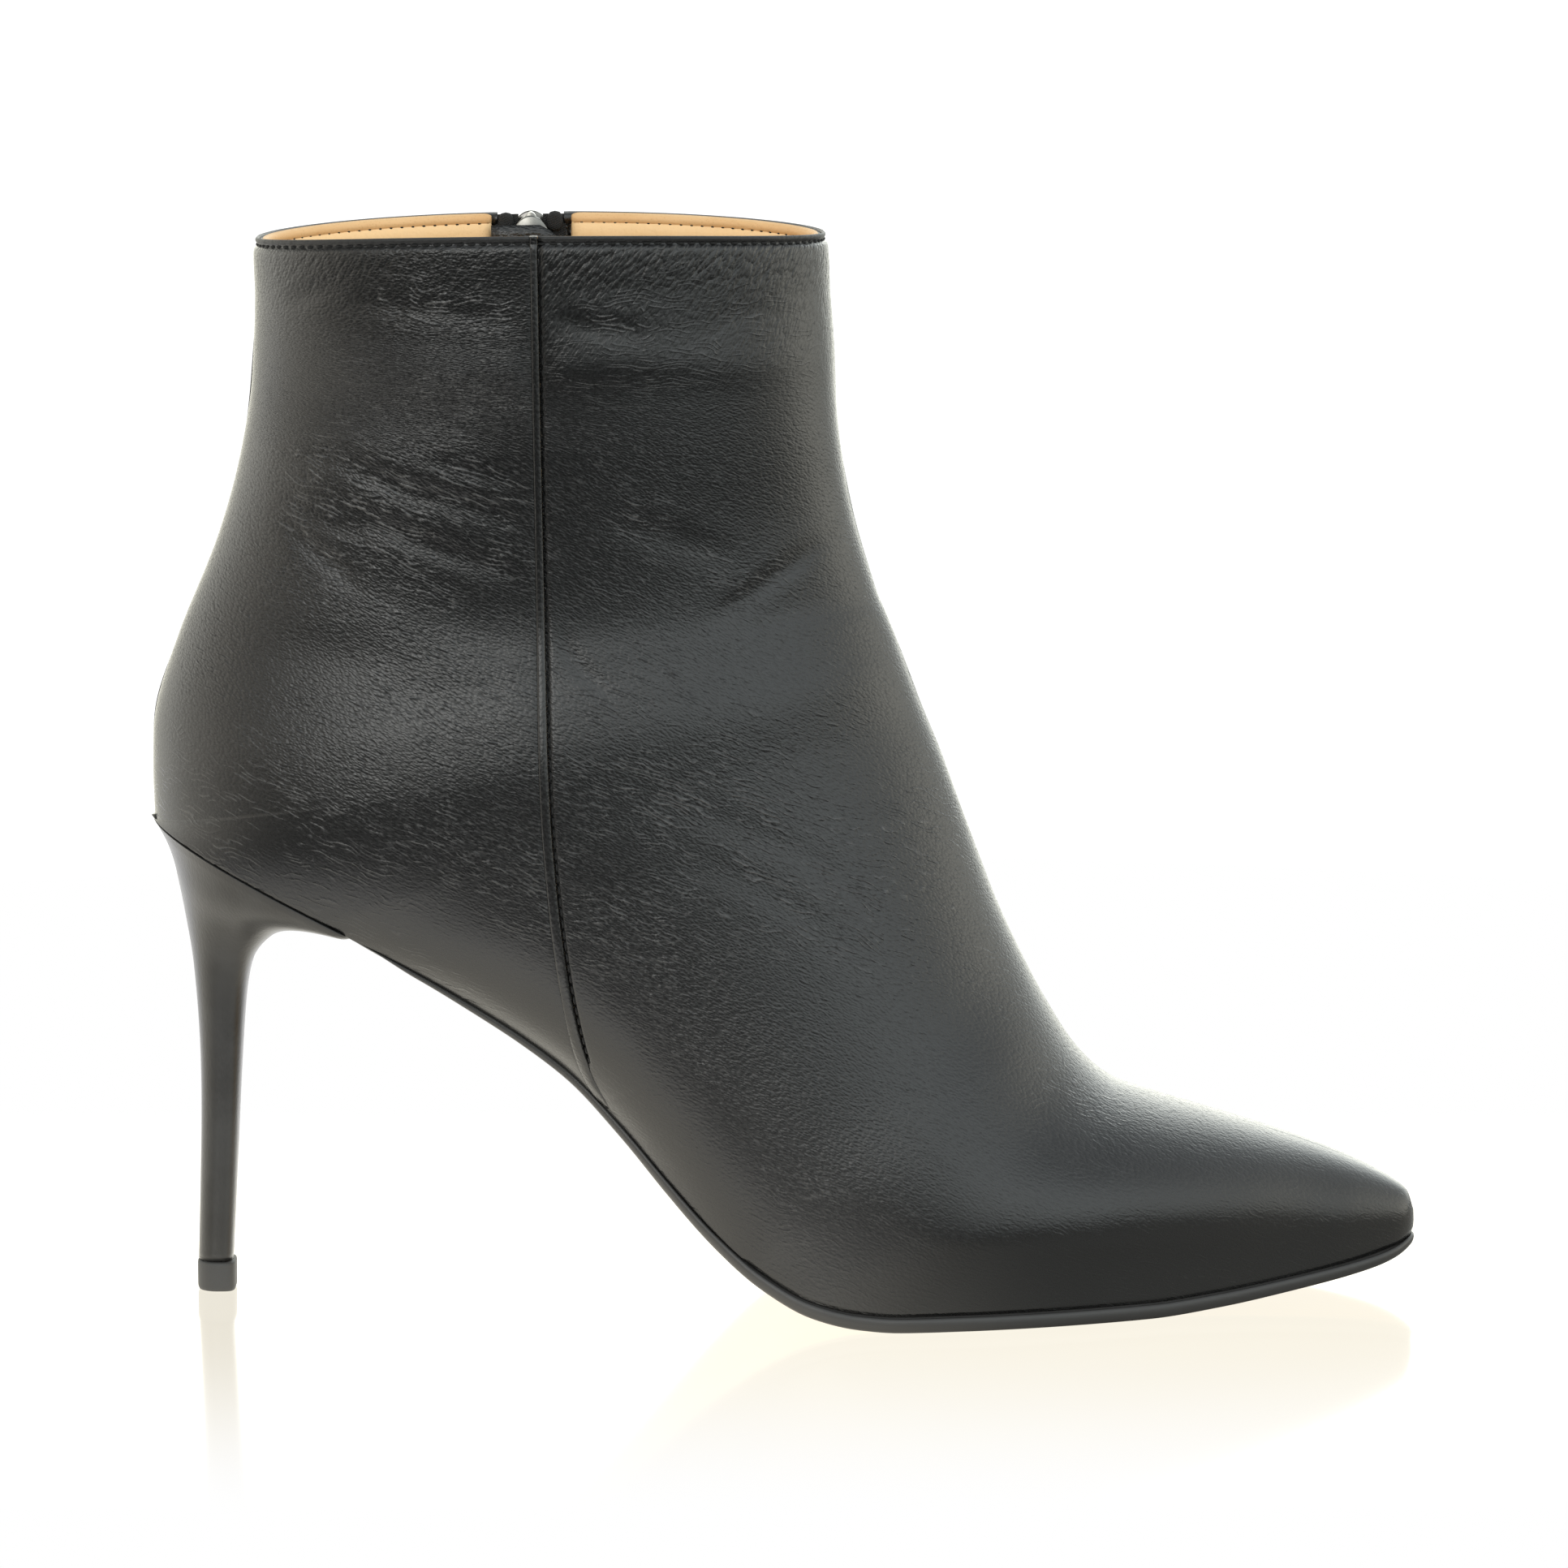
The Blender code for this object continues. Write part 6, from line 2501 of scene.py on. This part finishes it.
class Glow(NamedTuple):
    """A soft patch of light in the surroundings; azimuth 0 is in front of the boot's outer side."""

    azimuth: float
    elevation: float
    sharpness: float
    colour: tuple[float, float, float]

    def direction(self) -> tuple[float, float, float]:
        """Direction from the boot to the patch's middle."""
        turn, rise = math.radians(self.azimuth), math.radians(self.elevation)
        return (math.cos(rise) * math.sin(turn), -math.cos(rise) * math.cos(turn), math.sin(rise))


GLOWS = (
    Glow(-18.0, 23.0, 34.0, (5.6, 5.6, 5.4)),
    Glow(15.0, 38.0, 16.0, (1.5, 1.6, 1.6)),
    Glow(-110.0, 5.0, 6.0, (2.5, 2.45, 2.25)),
    Glow(-70.0, 12.0, 10.0, (1.3, 1.2, 1.05)),
    Glow(95.0, 5.0, 9.0, (2.8, 2.75, 2.45)),
    Glow(50.0, 26.0, 12.0, (1.2, 1.3, 1.35)),
    Glow(95.0, 54.0, 9.0, (0.8, 0.85, 0.9)),
    Glow(162.0, 24.0, 7.0, (1.8, 2.0, 2.1)),
    Glow(180.0, 4.0, 6.0, (2.3, 2.2, 1.8)),
    Glow(32.0, 5.0, 15.0, (1.25, 1.33, 1.3)),
    Glow(-20.0, 54.0, 12.0, (1.1, 1.15, 1.2)),
)


@dataclass
class Studio:
    """White floor with a faint reflection, white surroundings, soft lights and the camera."""

    camera_place: tuple[float, float, float] = (-0.0007, -1.35, 0.302)
    camera_aim: tuple[float, float, float] = (-0.0007, 0.0, 0.095)
    lens: float = 169.66
    sensor: float = 36.0
    floor_radius: float = 0.5
    floor_glow: float = 1.0
    # Warmer, brighter glow near the boot: painted bounce light and reflection of the tan sole on the white
    # floor.
    floor_colour: Colour = (1.15, 1.09, 0.95, 1.0)
    floor_drop: float = 0.0002
    mirror: float = 0.3
    mirror_roughness: float = 0.09
    toe_mirror_loss: float = 0.4
    toe_mirror_fade: Span = (-0.06, 0.0)
    mirror_fade: Span = (0.03, 0.17)
    front_glow: float = 0.1
    ball_glow: float = 0.2
    arch_glow: float = 1.7
    arch_fade: Span = (-0.02, 0.06)
    front_fade: Span = (-0.27, -0.07)
    ambient: Colour = (0.06, 0.07, 0.07, 1.0)
    backdrop: Colour = grey(1.2)

    def build_camera(self) -> None:
        """Camera at the photograph's angle."""
        data = bpy.data.cameras.new("camera")
        data.lens = self.lens
        data.sensor_width = self.sensor
        data.clip_start, data.clip_end = 0.05, 50.0
        camera = bpy.data.objects.new("camera", data)
        camera.location = self.camera_place
        view = Vector(self.camera_aim) - Vector(self.camera_place)
        camera.rotation_euler = view.to_track_quat("-Z", "Y").to_euler()
        bpy.context.scene.collection.objects.link(camera)
        bpy.context.scene.camera = camera

    def build_floor(self) -> None:
        """Glowing white floor that mirrors what stands on it close by."""
        shape = bmesh.new()
        bmesh.ops.create_circle(shape, cap_ends=True, segments=96, radius=self.floor_radius)
        mesh = bpy.data.meshes.new("studio_floor")
        shape.to_mesh(mesh)
        shape.free()
        material = bpy.data.materials.new("studio_white_floor")
        material.use_nodes = True
        graph = Graph(material.node_tree)
        along, depth = graph.place().part(0), graph.place().part(1)
        near = 1.0 - abs(depth).ease(*self.mirror_fade)
        seen = graph.node("ShaderNodeLightPath", output="Is Camera Ray")
        arch = 1.0 - along.ease(*self.arch_fade)
        cast = self.front_glow + depth.ease(*self.front_fade) * (self.ball_glow + self.arch_glow * arch)
        strength = cast * (1.0 - seen) + seen * self.floor_glow
        factor = self.mirror * near * (1.0 - along.ease(*self.toe_mirror_fade) * self.toe_mirror_loss)
        # Near the boot the glow takes the warm tint, painted bounce light from the tan sole.
        white = graph.mix(near, grey(1.0), self.floor_colour)
        glow = graph.node("ShaderNodeEmission", {}, {"Color": graph.vector("MULTIPLY", white, strength)})
        shine = {"Color": grey(1.0), "Roughness": self.mirror_roughness}
        gloss = graph.node("ShaderNodeBsdfGlossy", {}, shine)
        graph.surface(graph.node("ShaderNodeMixShader", {}, {0: factor, 1: glow, 2: gloss}))
        floor = place_piece(mesh, material)
        floor.location.z = -self.floor_drop

    def build_world(self) -> None:
        """Surroundings with soft patches of light, plain white behind the floor."""
        world = bpy.data.worlds.new("studio")
        bpy.context.scene.world = world
        world.use_nodes = True
        graph = Graph(world.node_tree)
        direction = graph.node("ShaderNodeTexCoord", output="Generated")
        light = graph.node("ShaderNodeRGB")
        light.socket.default_value = self.ambient
        for glow in GLOWS:
            inputs = {0: direction, 1: glow.direction()}
            facing = graph.node("ShaderNodeVectorMath", {"operation": "DOT_PRODUCT"}, inputs, "Value")
            amount = ((facing - 1.0) * glow.sharpness).exponential()
            light = graph.vector("ADD", light, graph.vector("MULTIPLY", amount, glow.colour))
        seen = graph.node("ShaderNodeLightPath", output="Is Camera Ray")
        shine = graph.node("ShaderNodeBackground", {}, {"Color": graph.mix(seen, light, self.backdrop)})
        graph.node("ShaderNodeOutputWorld", {}, {"Surface": shine})

    def build(self) -> None:
        """Set up the whole studio."""
        view = bpy.context.scene.view_settings
        view.view_transform = "Standard"
        view.look = "None"
        self.build_camera()
        self.build_floor()
        self.build_world()


def main() -> None:
    """Build every sub-assembly, then the studio round it."""
    logging.basicConfig(level=logging.INFO, format="%(name)s %(message)s")
    for assembly in (Upper(), Bottom(), Heel(), Zip()):
        for piece in assembly.build():
            report(piece)
    Studio().build()


if __name__ == "__main__":
    main()
